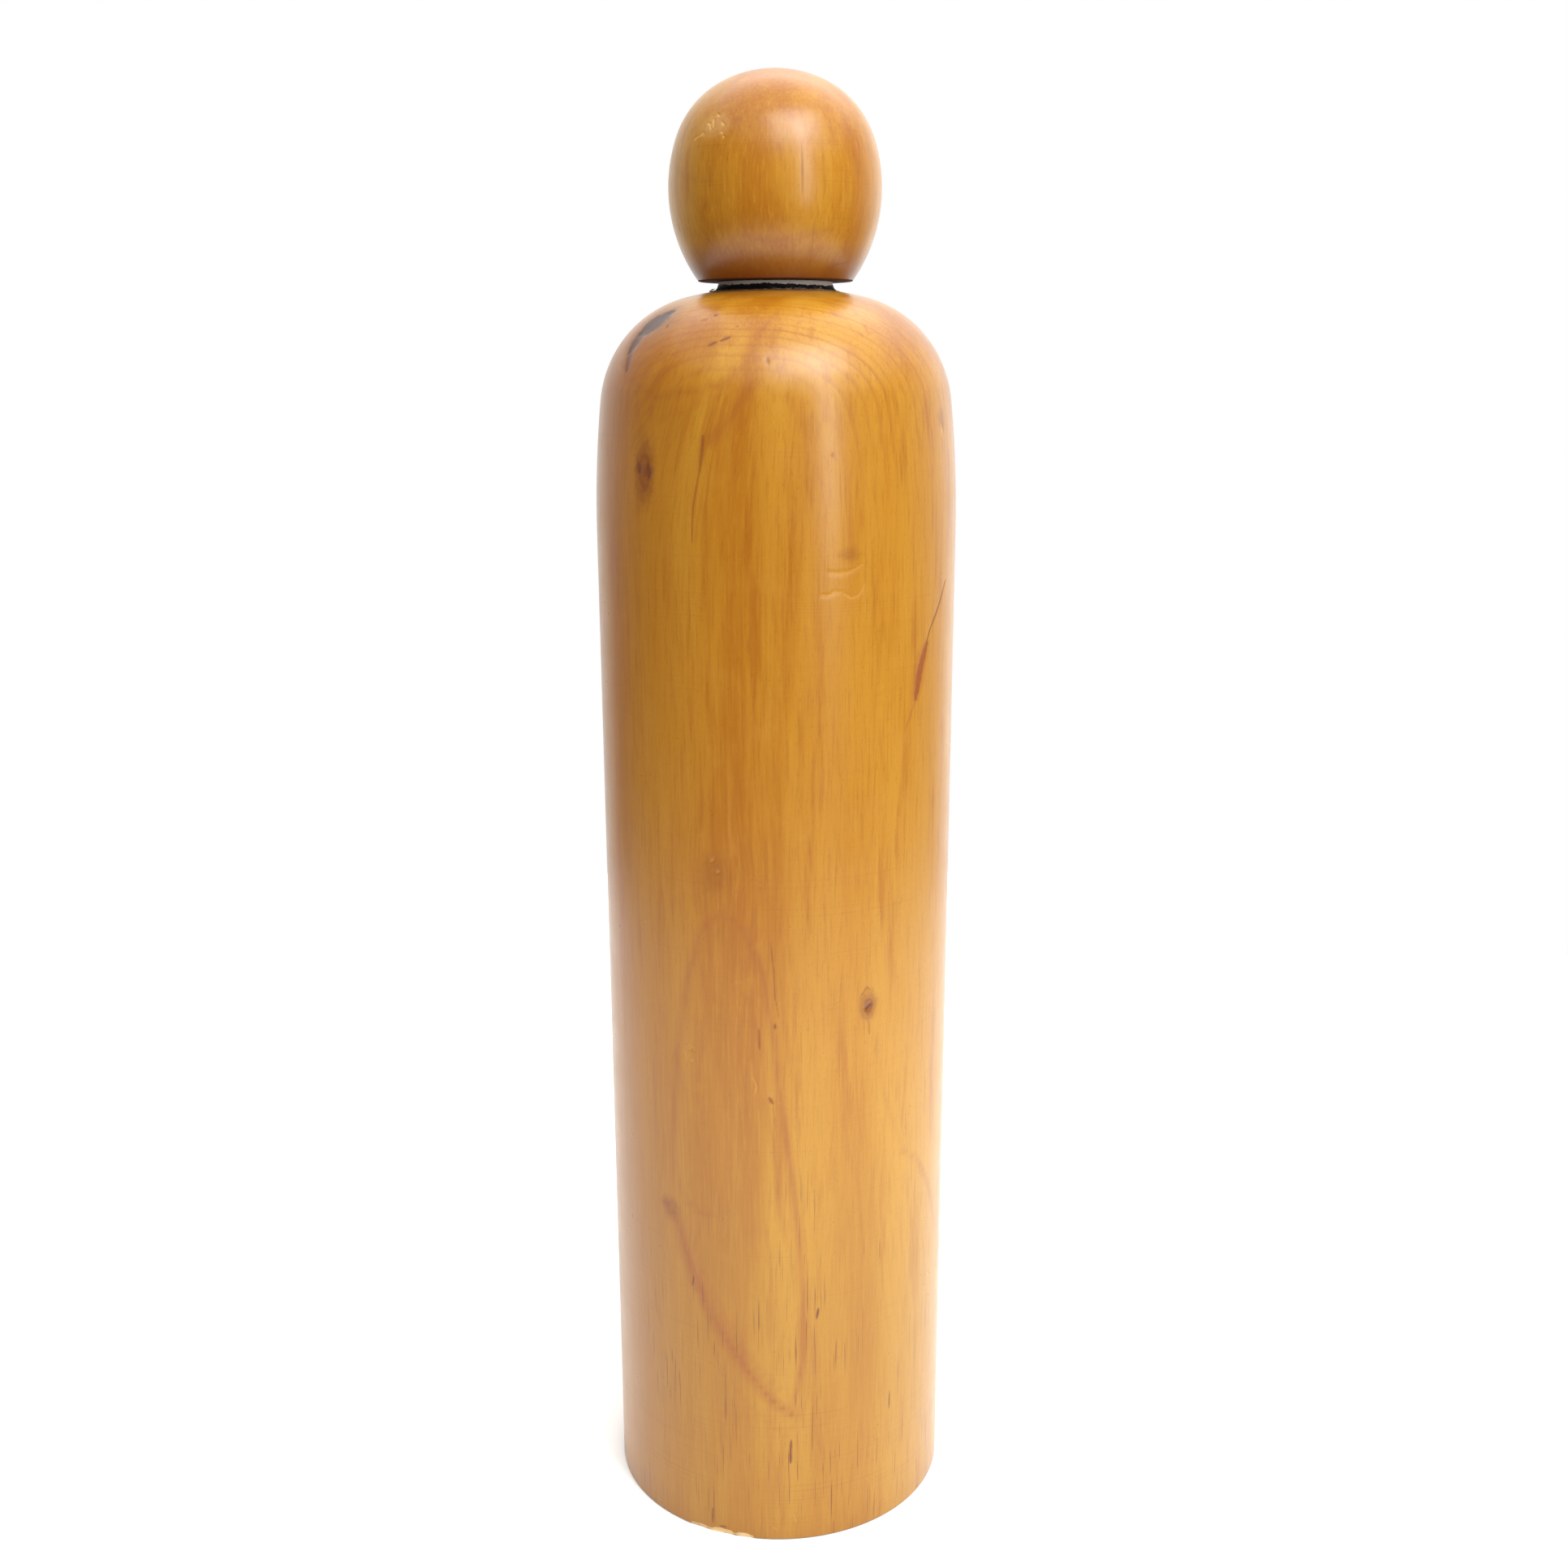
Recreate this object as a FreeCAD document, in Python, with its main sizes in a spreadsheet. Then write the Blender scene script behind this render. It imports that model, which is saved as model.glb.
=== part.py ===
"""A large turned kokeshi doll with a head that turns on its body.

Millimetres, +Z up, origin at the centre of the foot. Every turned piece is a revolution about Z:
  body         the trunk, with a dished foot, a seat for the collar and a blind socket for the peg
  neck_collar  the short flared ring between trunk and head, glued in the seat
  neck_peg     the hardwood peg, glued in the head, with a swelling snapped past the socket's lip
  head         the head, bored from below for the peg
"""

import math
import os

import FreeCAD, Part
import Sketcher

# Driving dimensions: alias, value in millimetres, what it is.
DIMENSIONS = [
    ("base_radius", 42.2, "trunk radius at the floor"),
    ("flank_radius", 42.8, "trunk radius at the top of its slow taper"),
    ("flank_height", 247.2, "height of the top of the taper"),
    ("upper_flank_arc", 270.0, "radius of the long arc above the taper"),
    ("shoulder_arc", 26.9, "radius of the shoulder, between the long arc and the crest"),
    ("crest_arc", 88.0, "radius of the nearly flat top of the trunk, centred on the axis"),
    ("crest_height", 301.9, "height of the trunk at the edge of the collar seat"),
    ("foot_round", 0.5, "rounding of the foot's outer edge"),
    ("dish_radius", 34.0, "radius of the hollow turned under the foot"),
    ("dish_depth", 1.4, "depth of that hollow at its centre"),
    ("seat_depth", 3.0, "depth of the seat below the crest"),
    ("collar_radius", 13.3, "radius of the collar where it meets the head"),
    ("collar_height", 304.1, "height of the top of the collar"),
    ("flare_arc", 1.6, "radius of the collar's hollow flare, which ends level at the seat's edge"),
    ("collar_edge", 0.15, "chamfer on the collar's top edge"),
    ("peg_radius", 7.0, "radius of the peg"),
    ("running_gap", 0.08, "radial clearance of the peg where it turns"),
    ("bulb_radius", 7.7, "radius of the swelling at the peg's foot"),
    ("bulb_length", 13.0, "length of the swelling's straight part"),
    ("bulb_slope", 1.5, "height of the tapers at the swelling's ends"),
    ("bulb_gap", 0.4, "clearance round and above the swelling"),
    ("lip_length", 11.0, "length of the socket's lip below the seat"),
    ("socket_end_gap", 1.0, "space below the peg at rest"),
    ("peg_in_head", 24.0, "length of the peg inside the head"),
    ("glue_space", 0.5, "space above the peg in the head"),
    ("peg_edge", 0.8, "chamfer on the peg's two ends"),
    ("head_gap", 0.1, "play between collar and head"),
    ("head_top", 350.4, "height of the crown"),
    ("crown_arc", 26.9, "radius of the crown"),
    ("cheek_arc", 21.1, "radius between crown and jaw"),
    ("jaw_arc", 34.0, "radius from the widest level down to the base"),
    ("head_radius", 24.5, "greatest radius of the head"),
    ("head_wide_height", 324.4, "height of that greatest radius"),
    ("head_edge", 0.35, "rounding of the head's base edge"),
    ("bore_mouth", 0.6, "chamfer at the mouth of the head's bore"),
]

# Sizes worked out in the sheet from the ones above.
DERIVED = [
    ("seat_radius", "=collar_radius + flare_arc"),
    ("seat_floor", "=crest_height - seat_depth"),
    ("head_base", "=collar_height + head_gap"),
    ("collar_bore", "=peg_radius + running_gap"),
    ("lip_floor", "=seat_floor - lip_length"),
    ("socket_radius", "=bulb_radius + bulb_gap"),
    ("bulb_top", "=lip_floor - bulb_gap"),
    ("bulb_shoulder", "=bulb_top - bulb_slope"),
    ("bulb_heel", "=bulb_shoulder - bulb_length"),
    ("peg_foot", "=bulb_heel - bulb_slope"),
    ("socket_floor", "=peg_foot - socket_end_gap"),
    ("peg_head", "=head_base + peg_in_head"),
    ("bore_end", "=peg_head + glue_space"),
    ("flare_height", "=crest_height + flare_arc"),
    ("jaw_reach", "=jaw_arc - head_radius"),
    ("dish_sphere", "=(dish_radius ^ 2 + dish_depth ^ 2) / (2 * dish_depth)"),
]

START, END, CENTRE = 1, 2, 3
Z_AXIS = -2
ORIGIN_POINT = (-1, 1)
SAME = 1e-3

doc = FreeCAD.newDocument("kokeshi")


def make_sheet():
    """The spreadsheet that holds every size, with an alias for each."""
    sheet = doc.addObject("Spreadsheet::Sheet", "dims")
    rows = [(name, str(value), note) for name, value, note in DIMENSIONS]
    rows += [(name, formula, "") for name, formula in DERIVED]
    for row, (name, content, note) in enumerate(rows, start=1):
        sheet.set(f"A{row}", name)
        sheet.set(f"B{row}", content)
        sheet.set(f"C{row}", note)
        sheet.setAlias(f"B{row}", name)
    doc.recompute()
    return sheet


SHEET = make_sheet()


def size(name):
    """The value of a cell, to draw a sketch near its final shape before the constraints hold it."""
    return float(SHEET.get(name))


def point(radius, height):
    """A point of a half-section, in the sketch's own plane."""
    return FreeCAD.Vector(radius, height, 0.0)


def left_of(start, end):
    """The unit vector that points left of the way from start to end."""
    way = end - start
    return point(-way.y, way.x).normalize()


def nested(low, low_radius, high, high_radius, radius):
    """Where an arc of the given radius touches two wider ones from inside: the lower, then the higher."""
    low_reach, high_reach = low_radius - radius, high_radius - radius
    gap = high - low
    along = (low_reach**2 - high_reach**2 + gap.Length**2) / (2 * gap.Length)
    across = math.sqrt(low_reach**2 - along**2)
    foot = low + gap * (along / gap.Length)
    sideways = left_of(low, high) * across
    centre = max(foot + sideways, foot - sideways, key=lambda place: place.y)
    return (low + (centre - low).normalize() * low_radius,
            high + (centre - high).normalize() * high_radius)


class Profile:
    """A closed half-section in a body's XZ plane, drawn in order as lines and arcs bound to the sheet."""

    def __init__(self, body, name):
        self.body = body
        self.sketch = body.newObject("Sketcher::SketchObject", name)
        plane = next(f for f in body.Origin.OriginFeatures if f.Role == "XZ_Plane")
        self.sketch.AttachmentSupport = [(plane, "")]
        self.sketch.MapMode = "FlatFace"
        self.last = None
        self.first = None

    def _add(self, geometry, tangent):
        index = self.sketch.addGeometry(geometry, False)
        if self.first is None:
            self.first = index
        else:
            self.hold("Tangent" if tangent else "Coincident", self.last, END, index, START)
        self.last = index
        return index

    def line(self, start, end):
        """A straight side from start to end."""
        return self._add(Part.LineSegment(start, end), tangent=False)

    def arc(self, start, end, radius, tangent=False):
        """An arc from start to end, counterclockwise: its centre is on the left of the way it runs."""
        halfway = (start + end) / 2
        reach = math.sqrt(max(radius**2 - ((end - start).Length / 2) ** 2, 0.0))
        centre = halfway + left_of(start, end) * reach
        middle = centre - left_of(start, end) * radius
        return self._add(Part.ArcOfCircle(start, middle, end), tangent)

    def hold(self, kind, *where):
        """A constraint with no size."""
        self.sketch.addConstraint(Sketcher.Constraint(kind, *where))

    def join(self, side, end, other, other_end):
        """Makes two points one."""
        self.hold("Coincident", side, end, other, other_end)

    def close(self):
        """Joins the last side to the first."""
        self.join(self.last, END, self.first, START)

    def bind(self, kind, *where, cell):
        """A dimension whose value comes from a cell of the sheet."""
        index = self.sketch.addConstraint(Sketcher.Constraint(kind, *where, size(cell)))
        self.sketch.setExpression(f"Constraints[{index}]", f"<<dims>>.{cell}")

    def at(self, side, end, radius=None, height=None):
        """Places a point of a side by its radius and height above the origin."""
        if radius:
            self.bind("DistanceX", *ORIGIN_POINT, side, end, cell=radius)
        if height:
            self.bind("DistanceY", *ORIGIN_POINT, side, end, cell=height)

    def radius(self, side, cell):
        self.bind("Radius", side, cell=cell)

    def on_axis(self, side, end):
        self.hold("PointOnObject", side, end, Z_AXIS)

    def above(self, side, end, other_end):
        """Keeps one point of a side straight above another."""
        self.hold("Vertical", side, end, side, other_end)

    def level(self, *sides):
        for side in sides:
            self.hold("Horizontal", side)

    def upright(self, *sides):
        for side in sides:
            self.hold("Vertical", side)

    def turn(self, feature, name):
        """Revolves the profile about Z, to add material (Revolution) or to take it away (Groove)."""
        doc.recompute()
        turned = self.body.newObject(f"PartDesign::{feature}", name)
        turned.Profile = self.sketch
        turned.ReferenceAxis = (self.sketch, ["V_Axis"])
        turned.Angle = 360.0
        self.sketch.Visibility = False
        doc.recompute()
        return turned


def new_body(label):
    body = doc.addObject("PartDesign::Body", label + "_solid")
    body.Label = label
    return body


def edge_at(feature, radius, height):
    """The name of the feature's circular edge of that radius at that height."""
    for index, edge in enumerate(feature.Shape.Edges, start=1):
        box = edge.BoundBox
        if abs(box.XMax - radius) < SAME and abs(box.ZMin - height) < SAME and box.ZLength < SAME:
            return f"Edge{index}"
    raise ValueError(f"{feature.Label} has no edge of radius {radius} at height {height}")


def dress(body, kind, name, edge, cell):
    """A Fillet or Chamfer of one circular edge, its size bound to a cell."""
    base = body.Tip
    dressed = body.newObject(f"PartDesign::{kind}", name)
    dressed.Base = (base, [edge])
    dressed.setExpression("Radius" if kind == "Fillet" else "Size", f"<<dims>>.{cell}")
    doc.recompute()
    return dressed


def polygon(body, name, corners):
    """A profile of straight sides. Each corner is a pair of cells, radius and height; no radius is the axis."""
    profile = Profile(body, name)
    points = [point(size(radius) if radius else 0.0, size(height)) for radius, height in corners]
    for index, (start, end) in enumerate(zip(points, points[1:] + points[:1])):
        side = profile.line(start, end)
        radius, height = corners[index]
        profile.at(side, START, radius=radius, height=height)
        if not radius:
            profile.on_axis(side, START)
    profile.close()
    return profile


def make_trunk():
    """The trunk: a slow taper, a long upper flank, a tight shoulder and a nearly flat crest."""
    body = new_body("body")
    profile = Profile(body, "trunk_profile")
    foot, top = point(0.0, 0.0), point(0.0, size("crest_height"))
    base = point(size("base_radius"), 0.0)
    flank = point(size("flank_radius"), size("flank_height"))
    seat = point(size("seat_radius"), size("crest_height"))
    flank_centre = flank + left_of(base, flank) * size("upper_flank_arc")
    crest_centre = top - point(0.0, math.sqrt(size("crest_arc") ** 2 - size("seat_radius") ** 2))
    shoulder, crest = nested(flank_centre, size("upper_flank_arc"),
                             crest_centre, size("crest_arc"), size("shoulder_arc"))
    under = profile.line(foot, base)
    side = profile.line(base, flank)
    upper = profile.arc(flank, shoulder, size("upper_flank_arc"), tangent=True)
    turn = profile.arc(shoulder, crest, size("shoulder_arc"), tangent=True)
    cap = profile.arc(crest, seat, size("crest_arc"), tangent=True)
    lid = profile.line(seat, top)
    core = profile.line(top, foot)
    profile.close()
    profile.join(under, START, *ORIGIN_POINT)
    profile.level(under, lid)
    profile.upright(core)
    profile.on_axis(cap, CENTRE)
    profile.at(side, START, radius="base_radius")
    profile.at(side, END, radius="flank_radius", height="flank_height")
    profile.at(cap, END, radius="seat_radius", height="crest_height")
    profile.radius(upper, "upper_flank_arc")
    profile.radius(turn, "shoulder_arc")
    profile.radius(cap, "crest_arc")
    profile.turn("Revolution", "trunk")

    seat_cut = polygon(body, "seat_profile", [
        (None, "crest_height"), ("seat_radius", "crest_height"),
        ("seat_radius", "seat_floor"), (None, "seat_floor")])
    seat_cut.turn("Groove", "collar_seat")
    lip = polygon(body, "lip_profile", [
        (None, "seat_floor"), ("collar_bore", "seat_floor"),
        ("collar_bore", "lip_floor"), (None, "lip_floor")])
    lip.turn("Groove", "socket_lip")
    socket = polygon(body, "socket_profile", [
        (None, "lip_floor"), ("socket_radius", "lip_floor"),
        ("socket_radius", "socket_floor"), (None, "socket_floor")])
    socket.turn("Groove", "socket")

    dish = Profile(body, "dish_profile")
    rim, centre = point(size("dish_radius"), 0.0), point(0.0, size("dish_depth"))
    floor = dish.line(foot, rim)
    hollow = dish.arc(rim, centre, size("dish_sphere"))
    axis = dish.line(centre, foot)
    dish.close()
    dish.join(floor, START, *ORIGIN_POINT)
    dish.level(floor)
    dish.upright(axis)
    dish.at(hollow, START, radius="dish_radius")
    dish.at(hollow, END, height="dish_depth")
    dish.radius(hollow, "dish_sphere")
    dished = dish.turn("Groove", "foot_dish")
    dress(body, "Fillet", "foot_edge", edge_at(dished, size("base_radius"), 0.0), "foot_round")
    return body


def make_collar():
    """The collar: a plug in the trunk's seat, a hollow flare above it and a bore for the peg."""
    body = new_body("neck_collar")
    profile = Profile(body, "collar_profile")
    bore, outer, upper = size("collar_bore"), size("seat_radius"), size("collar_radius")
    low, high = size("seat_floor"), size("collar_height")
    flare, seat = point(upper, size("flare_height")), point(outer, size("crest_height"))
    wall = profile.line(point(bore, low), point(bore, high))
    lid = profile.line(point(bore, high), point(upper, high))
    neck = profile.line(point(upper, high), flare)
    hollow = profile.arc(flare, seat, size("flare_arc"), tangent=True)
    plug = profile.line(seat, point(outer, low))
    under = profile.line(point(outer, low), point(bore, low))
    profile.close()
    profile.level(lid, under)
    profile.upright(wall, neck, plug)
    profile.at(wall, START, radius="collar_bore", height="seat_floor")
    profile.at(neck, START, radius="collar_radius", height="collar_height")
    profile.at(neck, END, height="flare_height")
    profile.radius(hollow, "flare_arc")
    profile.above(hollow, CENTRE, END)
    ring = profile.turn("Revolution", "ring")
    rim = edge_at(ring, size("collar_radius"), size("collar_height"))
    dress(body, "Chamfer", "ring_edge", rim, "collar_edge")
    return body


def make_peg():
    """The peg: straight through the collar and the lip, with a swelling below the lip that keeps it in."""
    body = new_body("neck_peg")
    profile = polygon(body, "peg_profile", [
        (None, "peg_foot"), ("peg_radius", "peg_foot"), ("bulb_radius", "bulb_heel"),
        ("bulb_radius", "bulb_shoulder"), ("peg_radius", "bulb_top"),
        ("peg_radius", "peg_head"), (None, "peg_head")])
    peg = profile.turn("Revolution", "peg")
    top = edge_at(peg, size("peg_radius"), size("peg_head"))
    peg = dress(body, "Chamfer", "peg_top_edge", top, "peg_edge")
    foot = edge_at(peg, size("peg_radius"), size("peg_foot"))
    dress(body, "Chamfer", "peg_foot_edge", foot, "peg_edge")
    return body


def make_head():
    """The head: crown, cheek and jaw arcs down to a flat base, bored for the peg."""
    body = new_body("head")
    profile = Profile(body, "head_profile")
    low, top = point(0.0, size("head_base")), point(0.0, size("head_top"))
    crown_centre = top - point(0.0, size("crown_arc"))
    jaw_centre = point(-size("jaw_reach"), size("head_wide_height"))
    drop = jaw_centre.y - low.y
    rim = point(jaw_centre.x + math.sqrt(size("jaw_arc") ** 2 - drop**2), low.y)
    cheek_end, crown_end = nested(jaw_centre, size("jaw_arc"),
                                  crown_centre, size("crown_arc"), size("cheek_arc"))
    under = profile.line(low, rim)
    jaw = profile.arc(rim, cheek_end, size("jaw_arc"))
    cheek = profile.arc(cheek_end, crown_end, size("cheek_arc"), tangent=True)
    crown = profile.arc(crown_end, top, size("crown_arc"), tangent=True)
    core = profile.line(top, low)
    profile.close()
    profile.level(under)
    profile.on_axis(core, START)
    profile.on_axis(core, END)
    profile.on_axis(crown, CENTRE)
    profile.at(under, START, height="head_base")
    profile.at(crown, END, height="head_top")
    profile.at(jaw, CENTRE, height="head_wide_height")
    profile.bind("DistanceX", jaw, CENTRE, *ORIGIN_POINT, cell="jaw_reach")
    profile.radius(jaw, "jaw_arc")
    profile.radius(cheek, "cheek_arc")
    profile.radius(crown, "crown_arc")
    profile.turn("Revolution", "skull")
    bore = polygon(body, "bore_profile", [
        (None, "head_base"), ("peg_radius", "head_base"), ("peg_radius", "bore_end"), (None, "bore_end")])
    bored = bore.turn("Groove", "peg_bore")
    edge = edge_at(bored, rim.x, rim.y)
    dressed = dress(body, "Fillet", "head_base_edge", edge, "head_edge")
    mouth = edge_at(dressed, size("peg_radius"), size("head_base"))
    dress(body, "Chamfer", "bore_mouth_edge", mouth, "bore_mouth")
    return body


def check(bodies):
    """Stops if any object failed to compute or any piece isn't one valid solid."""
    doc.recompute()
    bad = [o.Label for o in doc.Objects if {"Invalid", "Error"} & set(o.State)]
    if bad:
        raise RuntimeError(f"these objects failed: {bad}")
    sketches = [o for o in doc.Objects if o.isDerivedFrom("Sketcher::SketchObject")]
    loose = [o.Label for o in sketches if not o.FullyConstrained]
    if loose:
        raise RuntimeError(f"these sketches aren't fully constrained: {loose}")
    for body in bodies:
        shape = body.Shape
        if shape.isNull() or not shape.isValid() or len(shape.Solids) != 1:
            raise RuntimeError(f"{body.Label} isn't one valid solid")


def main():
    bodies = [make_trunk(), make_collar(), make_peg(), make_head()]
    check(bodies)
    os.makedirs("parts", exist_ok=True)
    for body in bodies:
        body.Shape.exportStep(f"parts/{body.Label}.step")
        box = body.Shape.optimalBoundingBox()
        print(f"{body.Label}: {body.Shape.Volume / 1000:.1f} cm3, radius {box.XMax:.2f}, "
              f"from {box.ZMin:.2f} to {box.ZMax:.2f}")


main()
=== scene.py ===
import math
from collections import namedtuple

import bmesh
import bpy
import numpy as np
from mathutils import Matrix, Vector


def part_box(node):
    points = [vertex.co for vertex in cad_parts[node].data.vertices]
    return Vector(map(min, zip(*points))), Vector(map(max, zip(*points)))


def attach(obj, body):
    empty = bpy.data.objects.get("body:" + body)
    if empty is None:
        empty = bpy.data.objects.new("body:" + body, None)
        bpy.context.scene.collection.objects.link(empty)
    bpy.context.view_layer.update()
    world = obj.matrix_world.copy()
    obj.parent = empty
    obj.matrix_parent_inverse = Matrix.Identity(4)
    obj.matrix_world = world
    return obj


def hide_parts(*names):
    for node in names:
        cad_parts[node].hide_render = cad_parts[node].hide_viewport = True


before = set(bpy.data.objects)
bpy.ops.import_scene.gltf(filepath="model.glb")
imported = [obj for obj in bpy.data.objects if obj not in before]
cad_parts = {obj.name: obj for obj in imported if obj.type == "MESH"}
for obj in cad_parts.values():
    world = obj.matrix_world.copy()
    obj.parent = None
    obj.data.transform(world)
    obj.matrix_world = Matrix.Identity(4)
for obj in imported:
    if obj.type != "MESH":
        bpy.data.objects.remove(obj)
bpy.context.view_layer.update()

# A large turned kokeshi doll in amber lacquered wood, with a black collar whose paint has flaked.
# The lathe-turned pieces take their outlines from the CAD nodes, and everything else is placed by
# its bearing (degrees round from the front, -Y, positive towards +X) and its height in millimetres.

MM = 0.001
BODY_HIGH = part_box("body")[1]
HEAD_LOW, HEAD_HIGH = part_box("head")
CREST = BODY_HIGH.z / MM
CHIN = HEAD_LOW.z / MM
GIRTH = BODY_HIGH.x / MM
# millimetres within which points count as one, and as level with each other
TOUCH, SAME_LEVEL = 1e-3, 1e-2


# ---- marks in the wood

# A stroke drawn on the surface: a path of (bearing, height), its width and its depth below the
# surface in millimetres, how strong its colour is, and how red a stain is (0 near black, 1 rust).
Stroke = namedtuple("Stroke", "path width depth strength red", defaults=(1.0, 0.4))
# A knot: where it is, its half-width and half-height, how far it bends the grain, and how dark it
# is (below zero it is a pale patch).
Knot = namedtuple("Knot", "bearing height wide tall bend shade")
# All the marks of one turned piece. Veils are soft lines of darker growth.
Marks = namedtuple("Marks", "stains veils dents chips knots")

BODY_STAINS = [
    # the bark pocket on the left shoulder and its tail
    Stroke([(-53.6, 296.9), (-56.6, 295.2), (-60.2, 292.4)], 7.4, 0.30, 1.0, 0.0),
    Stroke([(-59.6, 293.6), (-60.8, 291.0), (-60.2, 288.4)], 4.2, 0.20, 0.95, 0.12),
    Stroke([(-61.0, 290.6), (-59.4, 287.6), (-57.2, 284.4)], 2.4, 0.12, 0.85, 0.45),
    # dots and dashes beside it
    Stroke([(-46.2, 294.1), (-45.6, 293.5)], 1.0, 0.06, 0.9, 0.5),
    Stroke([(-25.4, 296.2), (-24.6, 296.0)], 1.0, 0.05, 0.8, 0.5),
    Stroke([(-30.4, 294.9), (-28, 295.2)], 0.8, 0.03, 0.5, 0.8),
    Stroke([(-14.6, 293.8), (-13.8, 293.6)], 0.9, 0.03, 0.5, 0.8),
    Stroke([(-23.0, 289.6), (-20.4, 290.4)], 0.75, 0.06, 0.85, 0.6),
    Stroke([(-19.0, 290.6), (-15.9, 291.4)], 0.75, 0.06, 0.85, 0.6),
    Stroke([(-2.5, 286.8), (-2.2, 286.0)], 1.0, 0.05, 0.55, 0.5),
    Stroke([(17.0, 267.1), (17.0, 266.4)], 0.9, 0.04, 0.45, 0.7),
    # the eyes of the knot on the left
    Stroke([(-45.9, 264.5), (-45.1, 262.5)], 1.6, 0.12, 0.85, 0.40),
    Stroke([(-41.7, 264.1), (-41.1, 261.6)], 1.8, 0.12, 0.85, 0.40),
    Stroke([(-43.6, 260.6), (-43.0, 258.6)], 1.5, 0.06, 0.45, 0.70),
    # the long thin crack below the left shoulder
    Stroke([(-21.9, 270.8), (-22.3, 266.5), (-23.0, 263.0)], 0.85, 0.08, 0.62, 0.7),
    Stroke([(-23.0, 263.0), (-23.9, 259.8), (-24.9, 255.5), (-25.2, 252), (-25.3, 248)],
           0.42, 0.05, 0.62, 0.8),
    # the crack on the right: a thin start, a thick rust-coloured stretch and a faint end
    Stroke([(66.2, 237.0), (60.5, 231.0), (55.5, 226.5), (53.4, 223.4)], 0.55, 0.15, 0.8, 0.45),
    Stroke([(53.7, 223.4), (51.4, 219.8), (49.9, 216.5), (48.3, 211.2)], 2.5, 0.08, 1.0, 1.0),
    Stroke([(47.6, 210.4), (45.6, 207.2), (43.6, 204.5)], 0.6, 0.04, 0.35, 0.8),
    # the pin knot's hole and ring
    Stroke([(29.0, 139.0), (31.0, 140.0)], 1.3, 0.30, 1.0, 0.40),
    Stroke([(27.4, 142.6), (29.4, 144.4), (31.0, 143.4)], 0.6, 0.06, 0.55, 0.8),
    Stroke([(30.2, 136.4), (30.6, 132.4)], 0.5, 0.04, 0.40, 0.8),
    # flecks down the front
    Stroke([(-2.1, 157.5), (-1.0, 150), (-0.7, 143.7), (0.5, 138.9)], 0.35, 0.05, 0.55, 0.5),
    Stroke([(-0.7, 137.4), (-0.9, 136.3)], 0.7, 0.10, 0.8, 0.6),
    Stroke([(-5.8, 136.2), (-5.7, 131.0)], 0.5, 0.08, 0.85, 0.85),
    Stroke([(-2.7, 119.0), (-1.5, 117.6)], 0.8, 0.10, 0.9, 0.85),
    Stroke([(-1.5, 117.4), (-0.8, 110.5)], 0.3, 0.03, 0.35, 0.6),
    Stroke([(13.2, 63.7), (12.6, 60.9)], 0.55, 0.12, 0.95, 0.45),
    Stroke([(4.1, 28.2), (3.9, 25.2), (3.9, 21.8)], 0.62, 0.12, 1.0, 0.60),
    Stroke([(-29.0, 70.2), (-29.6, 67.4)], 0.4, 0.08, 0.8, 0.3),
    Stroke([(41.0, 35.2), (40.9, 30.2)], 0.4, 0.08, 0.8, 0.4),
    Stroke([(-23.2, 6.9), (-23.4, 2.3)], 0.4, 0.08, 0.8, 0.4),
    Stroke([(-20.6, 1.9), (-18.2, 2.2)], 0.7, 0.15, 0.9, 0.7),
    # the side and back, where nothing is known
    Stroke([(147, 232), (149, 221), (150.5, 207), (150, 196)], 0.5, 0.14, 0.8, 0.6),
    Stroke([(-118, 171.5), (-116.6, 170.2)], 1.0, 0.25, 1.0, 0.2),
    Stroke([(171, 96), (171.5, 88)], 0.6, 0.10, 0.8, 0.6),
    Stroke([(-150, 52), (-150.4, 45)], 0.5, 0.08, 0.8, 0.4),
    Stroke([(112, 128), (112.6, 119)], 0.45, 0.08, 0.7, 0.6),
    Stroke([(-86, 96), (-86.5, 87)], 0.45, 0.08, 0.7, 0.5),
    Stroke([(96, 284.5), (99, 283.0)], 0.8, 0.10, 0.8, 0.3),
]
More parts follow.
